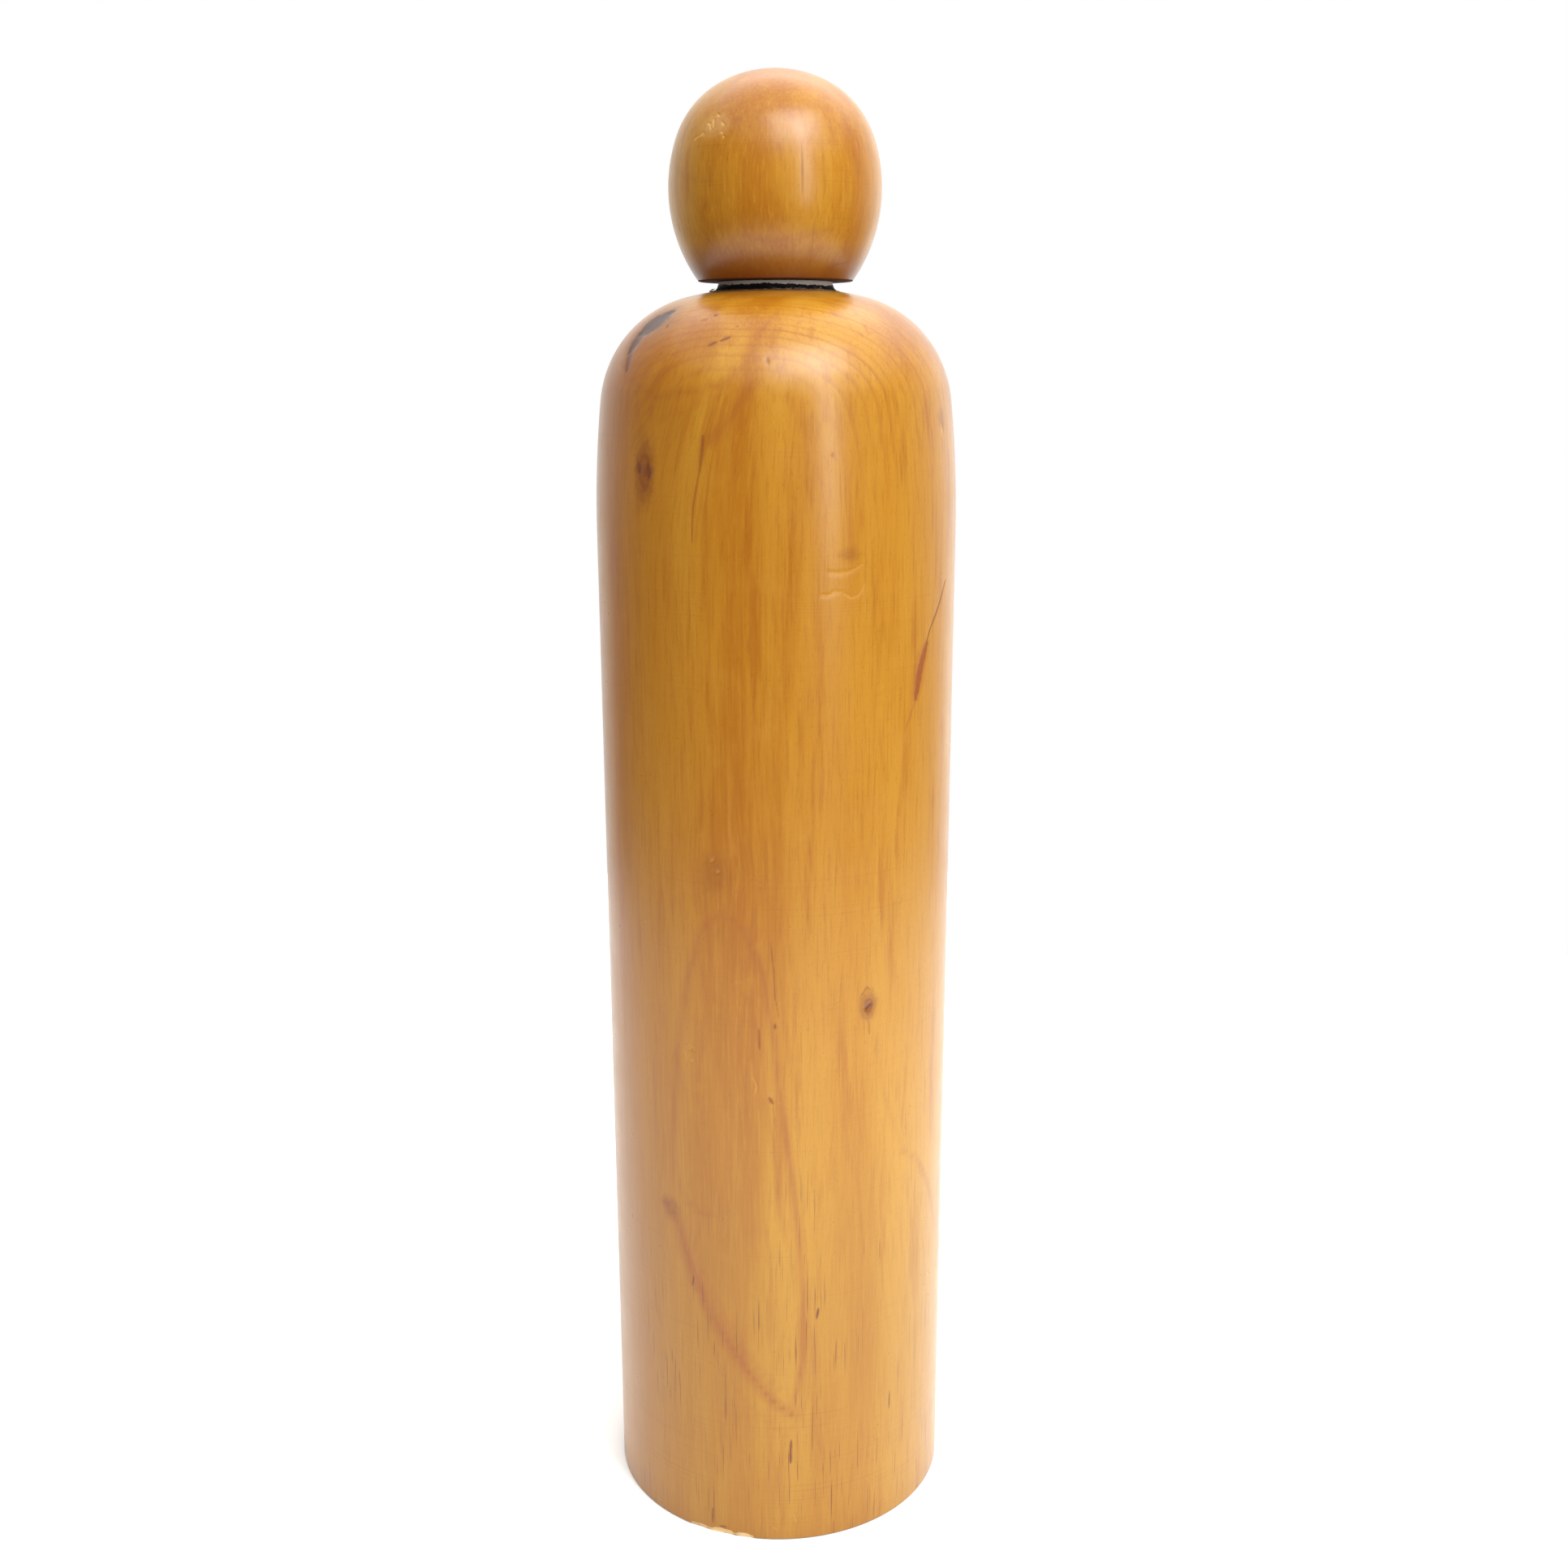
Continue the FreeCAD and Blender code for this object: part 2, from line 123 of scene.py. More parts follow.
BODY_VEILS = [
    # across the left shoulder
    Stroke([(-52, 282.5), (-40, 278.8), (-27, 280.0), (-16, 281.5), (-8, 286.0), (-2, 292.8), (7, 297.3)],
           1.8, 0, 0.30),
    Stroke([(-48, 277.5), (-38, 274.0), (-28, 276.0), (-18, 279.0), (-10, 283.2), (-5, 288.0)],
           1.4, 0, 0.18),
    Stroke([(-7.6, 282.5), (-9.6, 278.8), (-12.4, 275.2), (-19.5, 269.4)], 4.2, 0, 0.34),
    Stroke([(-30, 285.6), (-22, 287.0), (-14, 291.0), (-8, 296.0)], 1.2, 0, 0.16),
    # the long loop low on the front, with its knee on the left and a fainter line inside it
    Stroke([(-17.1, 163.9), (-10.5, 160.5), (-4.4, 149.6), (-1.0, 132), (1.7, 113.4), (4.3, 98.8),
            (6.9, 82), (8.4, 66.7), (8.0, 50), (4.4, 35.9)], 2.0, 0, 0.42),
    Stroke([(-17.1, 163.9), (-24.5, 159), (-30.0, 145), (-33.5, 128), (-35.6, 110), (-36.8, 97),
            (-37.4, 86)], 2.6, 0, 0.36),
    Stroke([(-41.5, 87.6), (-37.6, 85.8), (-33.8, 80.8), (-30.0, 74), (-25.6, 65.0), (-19.0, 56.5),
            (-10.6, 47.5), (-3.0, 39.8), (4.6, 35.0)], 3.2, 0, 0.58),
    Stroke([(-40.5, 88.0), (-36.8, 85.4), (-33.4, 80.0), (-30.2, 72), (-27.8, 66)], 3.6, 0, 0.60),
    Stroke([(-31.0, 86), (-26.5, 74), (-20.5, 64), (-12.5, 54), (-4.0, 46.0), (2.0, 42.0)], 1.6, 0, 0.22),
    Stroke([(-10.5, 151), (-5.6, 132), (-2.6, 113), (0.2, 96), (2.6, 80)], 1.6, 0, 0.18),
    Stroke([(-35.0, 99), (-33.0, 91), (-27.0, 87.5), (-19, 88)], 1.8, 0, 0.30),
    Stroke([(11.8, 72), (12.6, 54), (9.0, 38), (2.6, 29.5), (-8.0, 36), (-18, 45)], 1.4, 0, 0.16),
    # low on the right
    Stroke([(53.9, 95.5), (61, 87), (66, 79), (69.5, 71.0)], 1.6, 0, 0.42),
    Stroke([(33.5, 131), (36.5, 116), (43.0, 104), (53, 93)], 1.2, 0, 0.20),
    Stroke([(40, 100), (46, 99), (53, 96), (57, 89)], 1.3, 0, 0.30),
    Stroke([(20, 33), (27, 27), (36, 23), (46, 21)], 0.8, 0, 0.16),
    # the side and back
    Stroke([(-122, 262), (-116, 240), (-113, 205), (-115, 160)], 2.2, 0, 0.26),
    Stroke([(150, 275), (163, 279), (176, 277), (188, 270)], 1.8, 0, 0.28),
    Stroke([(128, 84), (140, 60), (152, 48), (168, 62), (172, 88)], 1.8, 0, 0.30),
]
BODY_DENTS = [
    # two marks like a fingernail's, right of the middle
    Stroke([(15.0, 241.7), (18, 241.2), (21.5, 241.3), (24.5, 242.2), (26.6, 243.0)], 0.8, 0.10),
    Stroke([(13.4, 236.7), (15.6, 236.4), (17.6, 237.3), (19.8, 237.0), (22.6, 235.7), (24.8, 236.0),
            (26.2, 237.2), (27.2, 238.6)], 0.65, 0.11),
    # small chips and scratches
    Stroke([(-31.5, 128.6), (-30.6, 127.2), (-30.2, 125.4)], 0.6, 0.15),
    Stroke([(-29.4, 129.0), (-28.0, 129.6), (-26.8, 128.8)], 0.6, 0.15),
    Stroke([(-28.9, 126.6), (-27.6, 126.0)], 0.6, 0.12),
    Stroke([(-20.9, 175.6), (-19.6, 176.4)], 0.6, 0.12),
    Stroke([(-19.0, 173.2), (-17.6, 173.8)], 0.6, 0.12),
    Stroke([(-7.8, 124.0), (-6.6, 121.8), (-7.0, 119.8)], 0.5, 0.10),
    Stroke([(-2.4, 3.6), (-1.4, 3.3), (-0.6, 2.6)], 0.5, 0.10),
    Stroke([(5.2, 7.2), (5.9, 4.4)], 0.5, 0.10),
    Stroke([(33.0, 24.6), (34.2, 22.9)], 0.4, 0.10),
    Stroke([(64.4, 272.0), (65.0, 270.4)], 1.5, 0.10),
    # the side and back
    Stroke([(161, 143.5), (163, 142.6), (165, 143.2)], 0.7, 0.18),
    Stroke([(-104, 214), (-102, 213.2), (-100.6, 214.4)], 0.7, 0.18),
]
EDGE_CHIPS = [
    # the chipped stretch of the foot's edge, and two small chips at the back
    Stroke([(-31.5, 0.3), (-27, 0.4), (-23, 0.3)], 0.9, 0.45),
    Stroke([(-23.5, 0.4), (-19.5, 0.6), (-15.5, 0.4)], 1.3, 0.60),
    Stroke([(-15.5, 0.4), (-12.4, 0.5), (-9, 0.3)], 1.0, 0.50),
    Stroke([(118, 0.4), (123, 0.6)], 1.4, 0.50),
    Stroke([(-163, 0.4), (-160, 0.5)], 1.2, 0.45),
]
BODY_KNOTS = [
    Knot(-43.2, 262.8, 3.6, 8.6, -1.8, 1.0),
    Knot(-56.0, 291.0, 11.0, 13.0, 3.4, 0.0),
    Knot(30.0, 139.6, 2.9, 4.0, 1.0, 1.0),
    Knot(64.8, 273.6, 2.6, 3.0, 0.9, 0.55),
    Knot(-37.8, 86.4, 3.4, 3.6, 0.9, 0.55),
    Knot(-19.4, 172.6, 4.6, 5.2, 0.7, 0.35),
    Knot(22.0, 245.4, 3.6, 1.9, 0.0, 0.45),
    Knot(-118, 170.8, 2.8, 4.6, 1.2, 0.9),
    Knot(140, 268.0, 3.4, 7.5, -1.6, 0.8),
    Knot(176, 66.0, 4.6, 6.0, 1.0, 0.4),
]
BODY_MARKS = Marks(BODY_STAINS, BODY_VEILS, BODY_DENTS, EDGE_CHIPS, BODY_KNOTS)

HEAD_STAINS = [
    Stroke([(14.2, 332.4), (14.0, 327), (13.8, 321.4)], 0.32, 0.02, 0.38, 0.4),
    Stroke([(-35.3, 327.6), (-35.8, 323.0)], 0.6, 0.01, 0.30, 0.9),
    Stroke([(-7.0, 316.0), (-8.7, 306.0)], 0.30, 0.01, 0.20, 0.6),
    Stroke([(9.4, 314.2), (11.1, 306.0)], 0.30, 0.01, 0.28, 0.6),
    Stroke([(21.4, 316.1), (22.8, 305.6)], 0.30, 0.01, 0.28, 0.6),
    Stroke([(38.5, 306.2), (42.0, 307.2), (48.1, 307.5), (53.4, 308.0)], 0.50, 0.02, 0.34, 0.7),
    Stroke([(158, 336), (160, 329), (159, 322)], 0.4, 0.05, 0.55, 0.5),
    Stroke([(-122, 318), (-123, 310)], 0.35, 0.03, 0.45, 0.5),
]
HEAD_VEILS = [
    Stroke([(-20, 313.5), (-4, 311.6), (14, 312.4), (32, 314.6)], 2.0, 0, 0.22),
    Stroke([(120, 343), (150, 338.5), (185, 341)], 1.6, 0, 0.24),
    Stroke([(-70, 330), (-55, 326), (-38, 324.6)], 1.4, 0, 0.16),
]
HEAD_DENTS = [
    Stroke([(-35.8, 338.8), (-34.0, 338.2)], 0.55, 0.14),
    Stroke([(-41.0, 336.9), (-39.0, 336.6), (-38.0, 335.6)], 0.65, 0.16),
    Stroke([(-31.2, 336.9), (-29.4, 336.2)], 0.55, 0.14),
    Stroke([(-49.6, 333.7), (-47.2, 334.3)], 0.60, 0.14),
    Stroke([(-45.6, 334.2), (-43.6, 334.9), (-42.4, 334.3)], 0.60, 0.14),
    Stroke([(-30.6, 334.9), (-29.4, 334.3)], 0.50, 0.12),
    Stroke([(-28.9, 333.9), (-28.0, 333.4)], 0.50, 0.12),
    Stroke([(-37.4, 337.6), (-36.4, 336.0)], 0.70, 0.10),
    Stroke([(98, 330.4), (100, 329.6), (102, 330.2)], 0.60, 0.14),
]
HEAD_KNOTS = [
    Knot(-36.5, 336.2, 4.8, 3.2, 0.0, -0.25),
    Knot(42.0, 305.5, 4.0, 3.0, 0.9, 0.3),
    Knot(172, 332.0, 2.6, 3.2, 1.0, 0.7),
]
HEAD_MARKS = Marks(HEAD_STAINS, HEAD_VEILS, HEAD_DENTS, [], HEAD_KNOTS)


# ---- outlines from the frame

def outline(node):
    """A turned CAD node's half-section as (radius, height) points, with the wood on the left.

    They are its vertices on the +X side of the XZ plane, in the order in which its edges join them.
    """
    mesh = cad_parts[node].data
    places = np.array([v.co[:] for v in mesh.vertices]) / MM
    on_seam = (np.abs(places[:, 1]) < TOUCH) & (places[:, 0] > -TOUCH)
    keys = [tuple(np.round(p[[0, 2]], 3) + 0.0) if s else None for p, s in zip(places, on_seam)]
    beside = {key: set() for key in keys if key}
    for edge in mesh.edges:
        a, b = (keys[v] for v in edge.vertices)
        if a and b and a != b:
            beside[a].add(b)
            beside[b].add(a)
    on_axis = [key for key in beside if key[0] < TOUCH]
    here = on_axis[0] if on_axis else min(beside)
    walked = [here]
    while len(walked) < len(beside):
        ahead = [k for k in beside[here] if k not in walked]
        if not ahead:
            ahead = [k for k in beside if k not in walked and abs(k[1] - here[1]) < SAME_LEVEL]
        if not ahead:
            break
        here = min(ahead, key=lambda k: math.dist(k, here))
        walked.append(here)
    points = np.array(walked)
    if on_axis:
        points = np.vstack([points, (0.0, points[-1, 1])])
        if points[0, 1] > points[-1, 1]:
            points = points[::-1]
    return points


class Outline:
    """A half-section made smooth between its corners, read by the distance walked along it."""

    CORNER = math.radians(20)

    def __init__(self, points):
        self.points = points
        steps = np.diff(points, axis=0)
        self.lengths = np.hypot(*steps.T)
        self.walked = np.concatenate([[0.0], np.cumsum(self.lengths)])
        way = steps / self.lengths[:, None]
        shared = way[:-1] * self.lengths[:-1, None] + way[1:] * self.lengths[1:, None]
        shared /= np.hypot(*shared.T)[:, None]
        sharp = np.sum(way[:-1] * way[1:], axis=1) < math.cos(self.CORNER)
        self.leaving = np.vstack([way[:1], np.where(sharp[:, None], way[1:], shared)])
        self.arriving = np.vstack([np.where(sharp[:, None], way[:-1], shared), way[-1:]])

    def at(self, distance):
        """(radius, height) at distances walked, by cubic curves from point to point."""
        i = np.clip(np.searchsorted(self.walked, distance, side="right") - 1, 0, len(self.lengths) - 1)
        span = self.lengths[i][:, None]
        t = ((distance - self.walked[i]) / self.lengths[i])[:, None]
        a, b = self.points[i], self.points[i + 1]
        start, end = self.leaving[i] * span, self.arriving[i] * span
        return ((2 * t**3 - 3 * t**2 + 1) * a + (t**3 - 2 * t**2 + t) * start
                + (3 * t**2 - 2 * t**3) * b + (t**3 - t**2) * end)

    def normal(self, distance):
        """The direction out of the wood at distances walked."""
        reach = 0.02
        ahead = self.at(np.minimum(distance + reach, self.walked[-1]))
        behind = self.at(np.maximum(distance - reach, 0.0))
        way = ahead - behind
        way /= np.maximum(np.hypot(*way.T), 1e-9)[:, None]
        return np.stack([way[:, 1], -way[:, 0]], axis=1)

    def rows(self, step, first, last):
        """Distances to lay rows of vertices at: every point, and no more than a step apart.

        Outside first..last, which are distances too, the rows only follow the points.
        """
        rows = []
        for i, length in enumerate(self.lengths):
            count = math.ceil(length / step) if first <= self.walked[i] < last else 1
            rows.extend(self.walked[i] + length * np.arange(count) / count)
        return np.array(rows + [self.walked[-1]])


# ---- marks on a turned surface

# the share of a stroke's or a strand's width that is left at its ends
TIP = 0.35


class Skin:
    """The outer surface of a turned piece, where marks are measured in millimetres along it."""

    def __init__(self, line, start, end):
        """start and end are the distances walked between which the outer surface lies."""
        walked = np.linspace(start, end, 2000)
        place = line.at(walked)
        self.heights, self.radii, self.walked = place[:, 1], place[:, 0], walked

    def distance_at(self, height):
        return np.interp(height, self.heights, self.walked)

    def radius_at(self, height):
        return np.interp(height, self.heights, self.radii)

    def local(self, bearings, walked, bearing, height):
        """Each vertex's place in millimetres across and along the surface from a bearing and height."""
        turn = (bearings - bearing + 180) % 360 - 180
        return np.radians(turn) * self.radius_at(height), walked - self.distance_at(height)

    def nearness(self, bearings, walked, stroke):
        """How many half-widths away from a stroke each vertex is, as the stroke tapers to its ends."""
        bearing, height = stroke.path[0]
        across, along = self.local(bearings, walked, bearing, height)
        path = []
        for point in stroke.path:
            turn = math.radians(point[0] - bearing) * self.radius_at((height + point[1]) / 2)
            path.append((turn, self.distance_at(point[1]) - self.distance_at(height)))
        path = np.array(path)
        legs = np.hypot(*np.diff(path, axis=0).T)
        total = legs.sum()
        best = np.full(len(bearings), np.inf)
        done = 0.0
        for a, b, leg in zip(path, path[1:], legs):
            way = (b - a) / leg
            t = np.clip((across - a[0]) * way[0] + (along - a[1]) * way[1], 0, leg)
            gap = np.hypot(across - a[0] - way[0] * t, along - a[1] - way[1] * t)
            share = (done + t) / total
            swell = np.sqrt(np.sin(np.pi * np.clip(share, 0.02, 0.98)))
            half = stroke.width / 2 * (TIP + (1 - TIP) * swell)
            best = np.minimum(best, gap / half)
            done += leg
        return best


# the nearness kept where there is no stroke or knot near
FAR, FAR_FROM_KNOTS = 8.0, 4.0
# a dent's lip: its size as a share of the dent's depth, how far out it runs and how wide it is
LIP, LIP_OUT, LIP_WIDE = 0.35, 2.1, 0.7
# how far out a chip's broken edge ends, and how uneven the edge is
CHIP_OUT, CHIP_RAGGED = 1.6, 0.5


def closest(skin, bearings, walked, strokes):
    """(nearness, strength, redness) of the nearest of several strokes at each vertex."""
    nearest = np.full(len(bearings), FAR)
    strength, red = np.zeros(len(bearings)), np.zeros(len(bearings))
    for stroke in strokes:
        near = skin.nearness(bearings, walked, stroke)
        closer = near < nearest
        nearest[closer] = near[closer]
        strength[closer], red[closer] = stroke.strength, stroke.red
    return nearest, strength, red


def wobble(bearings, walked, scale, seed):
    """A smooth seeded unevenness from -1 to 1 over a turned surface."""
    rng = np.random.default_rng(seed)
    total, most = np.zeros(len(bearings)), 0.0
    for octave in range(1, 5):
        turns = rng.integers(3, 40, 3) * octave
        rises = rng.uniform(0.3, 1.0, 3) * octave / scale
        for turn, rise, phase in zip(turns, rises, rng.uniform(0, 2 * np.pi, 3)):
            total += np.sin(np.radians(bearings) * turn + walked * rise * 2 * np.pi + phase) / octave
            most += 1 / octave
    return total / most


def relief(skin, bearings, walked, marks):
    """How far each vertex lies below the turned surface, in millimetres. Dents have a raised lip."""
    depth = np.zeros(len(bearings))
    for stroke in marks.stains:
        near = skin.nearness(bearings, walked, stroke)
        depth = np.maximum(depth, stroke.depth * np.exp(-near**2))
    for stroke in marks.dents:
        near = skin.nearness(bearings, walked, stroke)
        lip = LIP * stroke.depth * np.exp(-((near - LIP_OUT) / LIP_WIDE) ** 2)
        depth = np.maximum(depth, stroke.depth * np.exp(-near**2)) - lip
    ragged = 1 + CHIP_RAGGED * wobble(bearings, walked, 1.5, 5)
    for stroke in marks.chips:
        near = skin.nearness(bearings, walked, stroke) * ragged
        depth = np.maximum(depth, stroke.depth * np.clip(CHIP_OUT - near, 0, 1))
    return depth


# ---- the wood's own frame

# The growth rings are round a pith that lies behind the doll, PITH_REACH from its axis. The pith's
# bearing from straight behind wanders with height, and the rings swell and shrink with height.
# Round a knot they bend, and the grain is pushed aside, over these multiples of the knot's size.
RING_BEND_WIDE, RING_BEND_TALL = 1.6, 1.3
PUSH, PUSH_REACH = 0.35, 1.8
PITH_REACH = 60.0
PITH_HEIGHTS = [0, 36, 49, 65, 79, 86, 113, 150, 164, 230, 280, 300, 350]
PITH_BEARINGS = [5, 4, -2, -8, -12, -16, -17, -14, -17, -12, -8, -6, 10]
SWELL_HEIGHTS = [0, 20, 36, 49, 65, 79, 86, 100, 113, 150, 164, 190, 230, 262, 290, 350]
SWELLS = [-1.1, -0.55, 0.0, 0.33, 1.02, 1.35, 1.75, 1.6, 1.4, 0.42, 0.0, -0.7, -1.1, -0.5, -0.9, -1.6]
BLEND = 9.0


def eased(height, heights, values):
    """Values read at heights, smoothed over BLEND each way so that the rings don't kink."""
    total = 0.0
    for offset in (-1.0, -0.5, 0.0, 0.5, 1.0):
        total = total + np.interp(height + offset * BLEND, heights, values)
    return total / 5


def growth(places, skin, bearings, walked, knots):
    """Millimetres of growth outside the ring that passes up the front, at each vertex."""
    height = places[:, 2]
    turn = np.radians(eased(height, PITH_HEIGHTS, PITH_BEARINGS))
    pith_x, pith_y = -PITH_REACH * np.sin(turn), PITH_REACH * np.cos(turn)
    reach = np.hypot(places[:, 0] - pith_x, places[:, 1] - pith_y) - PITH_REACH - GIRTH
    rings = reach + eased(height, SWELL_HEIGHTS, SWELLS)
    for knot in knots:
        across, along = skin.local(bearings, walked, knot.bearing, knot.height)
        wide, tall = across / knot.wide / RING_BEND_WIDE, along / knot.tall / RING_BEND_TALL
        rings += knot.bend * np.exp(-wide**2 - tall**2)
    return rings


def knot_field(skin, bearings, walked, knots):
    """(nearness, shade) of the nearest knot, and how far the grain is pushed aside by them all."""
    nearest, shade = np.full(len(bearings), FAR_FROM_KNOTS), np.zeros(len(bearings))
    pushed = np.zeros(len(bearings))
    for knot in knots:
        across, along = skin.local(bearings, walked, knot.bearing, knot.height)
        near = np.hypot(across / knot.wide, along / knot.tall)
        closer = near < nearest
        nearest[closer], shade[closer] = near[closer], knot.shade
        pushed -= across * abs(knot.bend) * PUSH * np.exp(-(near / PUSH_REACH) ** 2)
    return nearest, shade, pushed


# ---- turned meshes

def in_scene(name, data):
    """A new object in the scene, made from its data."""
    made = bpy.data.objects.new(name, data)
    bpy.context.scene.collection.objects.link(made)
    return made


def mesh_piece(name, places, faces):
    """A new mesh object from points in millimetres."""
    mesh = bpy.data.meshes.new(name)
    mesh.from_pydata((np.asarray(places) * MM).tolist(), [], faces)
    return in_scene(name, mesh)


def grid_faces(columns, line_rows, fine, split):
    """Vertex keys and faces of a closed lathe grid, with some cells split finer.

    A key is (column, row) in units of 1/split of a cell. A cell beside a split one takes in the
    extra vertices on the edge they share, so that the mesh stays closed.
    """
    keys, faces = {}, []
    around = columns * split

    def vertex(column, row):
        return keys.setdefault((column % around, row), len(keys))

    for i, j in zip(*np.nonzero(fine)):
        for a in range(i * split, (i + 1) * split):
            for b in range(j * split, (j + 1) * split):
                faces.append([vertex(a, b), vertex(a + 1, b), vertex(a + 1, b + 1), vertex(a, b + 1)])
    steps = range(1, split)
    for i, j in zip(*np.nonzero(~fine)):
        a, b = i * split, j * split
        right, top = a + split, b + split
        below = fine[i, j - 1] if j > 0 else False
        above = fine[i, j + 1] if j + 2 < line_rows else False
        before, after = fine[i - 1, j], fine[(i + 1) % columns, j]
        face = [vertex(a, b)] + [vertex(a + k, b) for k in steps if below]
        face += [vertex(right, b)] + [vertex(right, b + k) for k in steps if after]
        face += [vertex(right, top)] + [vertex(right - k, top) for k in steps if above]
        face += [vertex(a, top)] + [vertex(a, top - k) for k in steps if before]
        faces.append(face)
    return np.array(list(keys)), faces


def turned_piece(name, node, marks, seen, columns, step, split, rows_above):
    """A dense lathe mesh on a CAD node's outline, with its marks cut in and its wood fields stored.

    columns and step, in millimetres, set the grid, whose cells are split finer near a mark.
    """
    line = Outline(outline(node))
    skin = Skin(line, *seen(line))
    rows = line.rows(step, skin.walked[0] - rows_above, skin.walked[-1] + rows_above)
    around, along = (np.arange(columns) + 0.5) * 360 / columns, (rows[:-1] + rows[1:]) / 2
    around, along = (grid.ravel() for grid in np.meshgrid(around, along, indexing="ij"))
    fine = np.zeros(len(around), bool)
    for stroke in marks.stains + marks.dents + marks.chips:
        fine |= skin.nearness(around, along, stroke) * stroke.width / 2 < stroke.width + step
    fine = fine.reshape(columns, len(rows) - 1)
    keys, faces = grid_faces(columns, len(rows), fine, split)

    bearings = keys[:, 0] * 360 / (columns * split)
    walked = np.interp(keys[:, 1] / split, np.arange(len(rows)), rows)
    section, out = line.at(walked), line.normal(walked)
    on_skin = (walked >= skin.walked[0]) & (walked <= skin.walked[-1])
    depth = np.where(on_skin, relief(skin, bearings, walked, marks), 0.0)
    section = section - out * depth[:, None]
    turn = np.radians(bearings)
    radius, height = np.maximum(section, 0.0).T
    places = np.stack([radius * np.sin(turn), -radius * np.cos(turn), height], axis=1)

    piece = mesh_piece(name, places, faces)

    stain, stain_strength, stain_red = closest(skin, bearings, walked, marks.stains)
    veil, veil_strength, _ = closest(skin, bearings, walked, marks.veils)
    knot, knot_shade, pushed = knot_field(skin, bearings, walked, marks.knots)
    grain = places + np.stack([np.cos(turn), np.sin(turn), 0 * turn], axis=1) * pushed[:, None]
    fields = {
        "rings": growth(places, skin, bearings, walked, marks.knots),
        "stain": stain, "stain_strength": stain_strength, "stain_red": stain_red,
        "veil": veil, "veil_strength": veil_strength,
        "dent": closest(skin, bearings, walked, marks.dents)[0],
        "chip": closest(skin, bearings, walked, marks.chips)[0],
        "knot": knot, "knot_shade": knot_shade,
        "grain": grain * MM,
    }
    for field, values in fields.items():
        store(piece.data, field, values)
    clean(piece)
    return piece


def store(mesh, name, values):
    """Keeps a number or a vector for each vertex, which materials read by name."""
    kind, key = ("FLOAT_VECTOR", "vector") if values.ndim == 2 else ("FLOAT", "value")
    attribute = mesh.attributes.new(name, kind, "POINT")
    attribute.data.foreach_set(key, values.astype(np.float32).ravel())


def clean(piece):
    """Joins the vertices that meet on the axis, and shades the piece smooth except at hard edges."""
    editor = bmesh.new()
    editor.from_mesh(piece.data)
    bmesh.ops.remove_doubles(editor, verts=editor.verts, dist=1e-7)
    bmesh.ops.recalc_face_normals(editor, faces=editor.faces)
    editor.to_mesh(piece.data)
    editor.free()
    piece.data.shade_smooth()
    piece.data.set_sharp_from_angle(angle=math.radians(35))


# ---- shader helpers

def srgb(red, green, blue):
    """A display colour, 0 to 255, as the linear colour that shaders take."""
    channels = [c / 255 for c in (red, green, blue)]
    return tuple(c / 12.92 if c <= 0.04045 else ((c + 0.055) / 1.055) ** 2.4 for c in channels) + (1.0,)


class Nodes:
    """A node tree, with a short call for each kind of node used here."""

    def __init__(self, tree):
        self.tree = tree

    def node(self, kind, inputs, **settings):
        made = self.tree.nodes.new(kind)
        for key, value in settings.items():
            setattr(made, key, value)
        for key, value in inputs.items():
            self.feed(made.inputs[key], value)
        return made

    def feed(self, socket, value):
        if isinstance(value, bpy.types.NodeSocket):
            self.tree.links.new(value, socket)
        else:
            socket.default_value = value

    def attribute(self, name, output="Fac"):
        return self.node("ShaderNodeAttribute", {}, attribute_name=name).outputs[output]

    def here(self):
        return self.node("ShaderNodeTexCoord", {}).outputs["Object"]

    def math(self, operation, a, b=0.0):
        return self.node("ShaderNodeMath", {0: a, 1: b}, operation=operation).outputs[0]

    def plus(self, a, b):
        return self.math("ADD", a, b)

    def mix(self, share, a, b, blend="MIX"):
        """Colour a carried towards colour b by a share."""
        made = self.node("ShaderNodeMix", {"Factor": share}, data_type="RGBA", blend_type=blend)
        self.feed(made.inputs[6], a)
        self.feed(made.inputs[7], b)
        return made.outputs[2]

    def scaled(self, vector, x, y, z):
        return self.node("ShaderNodeMapping", {"Vector": vector, "Scale": (x, y, z)}).outputs["Vector"]

    def noise(self, vector, scale=1.0, detail=2.0, roughness=0.5):
        inputs = {"Vector": vector, "Scale": scale, "Detail": detail, "Roughness": roughness}
        return self.node("ShaderNodeTexNoise", inputs).outputs["Fac"]

    def between(self, value, low, high, smooth=True, out_low=0.0, out_high=1.0):
        """The value carried from low..high to out_low..out_high and held there."""
        kind = "SMOOTHSTEP" if smooth else "LINEAR"
        inputs = {"Value": value, "From Min": low, "From Max": high, "To Min": out_low, "To Max": out_high}
        return self.node("ShaderNodeMapRange", inputs, interpolation_type=kind).outputs["Result"]

    def spread(self, value, low, high):
        """A value from 0 to 1 carried to low..high."""
        return self.between(value, 0, 1, False, low, high)

    def times(self, *values):
        product = values[0]
        for value in values[1:]:
            product = self.math("MULTIPLY", product, value)
        return product

    def tint(self, colour, tone, value, low, high, most=1.0):
        """The colour carried towards a tone, by as much as most, as the value goes from low to high."""
        return self.mix(self.between(value, low, high, out_high=most), colour, tone)

    def bump(self, height, distance, strength=1.0, below=None):
        inputs = {"Height": height, "Distance": distance, "Strength": strength}
        if below is not None:
            inputs["Normal"] = below
        return self.node("ShaderNodeBump", inputs).outputs["Normal"]


class Shader(Nodes):
    """A material made of nodes, which end in its surface."""

    def __init__(self, name):
        self.material = bpy.data.materials.new(name)
        self.material.use_nodes = True
        super().__init__(self.material.node_tree)
        self.surface = self.tree.nodes["Principled BSDF"]

    def set(self, **values):
        for key, value in values.items():
            self.feed(self.surface.inputs[key.replace("_", " ")], value)


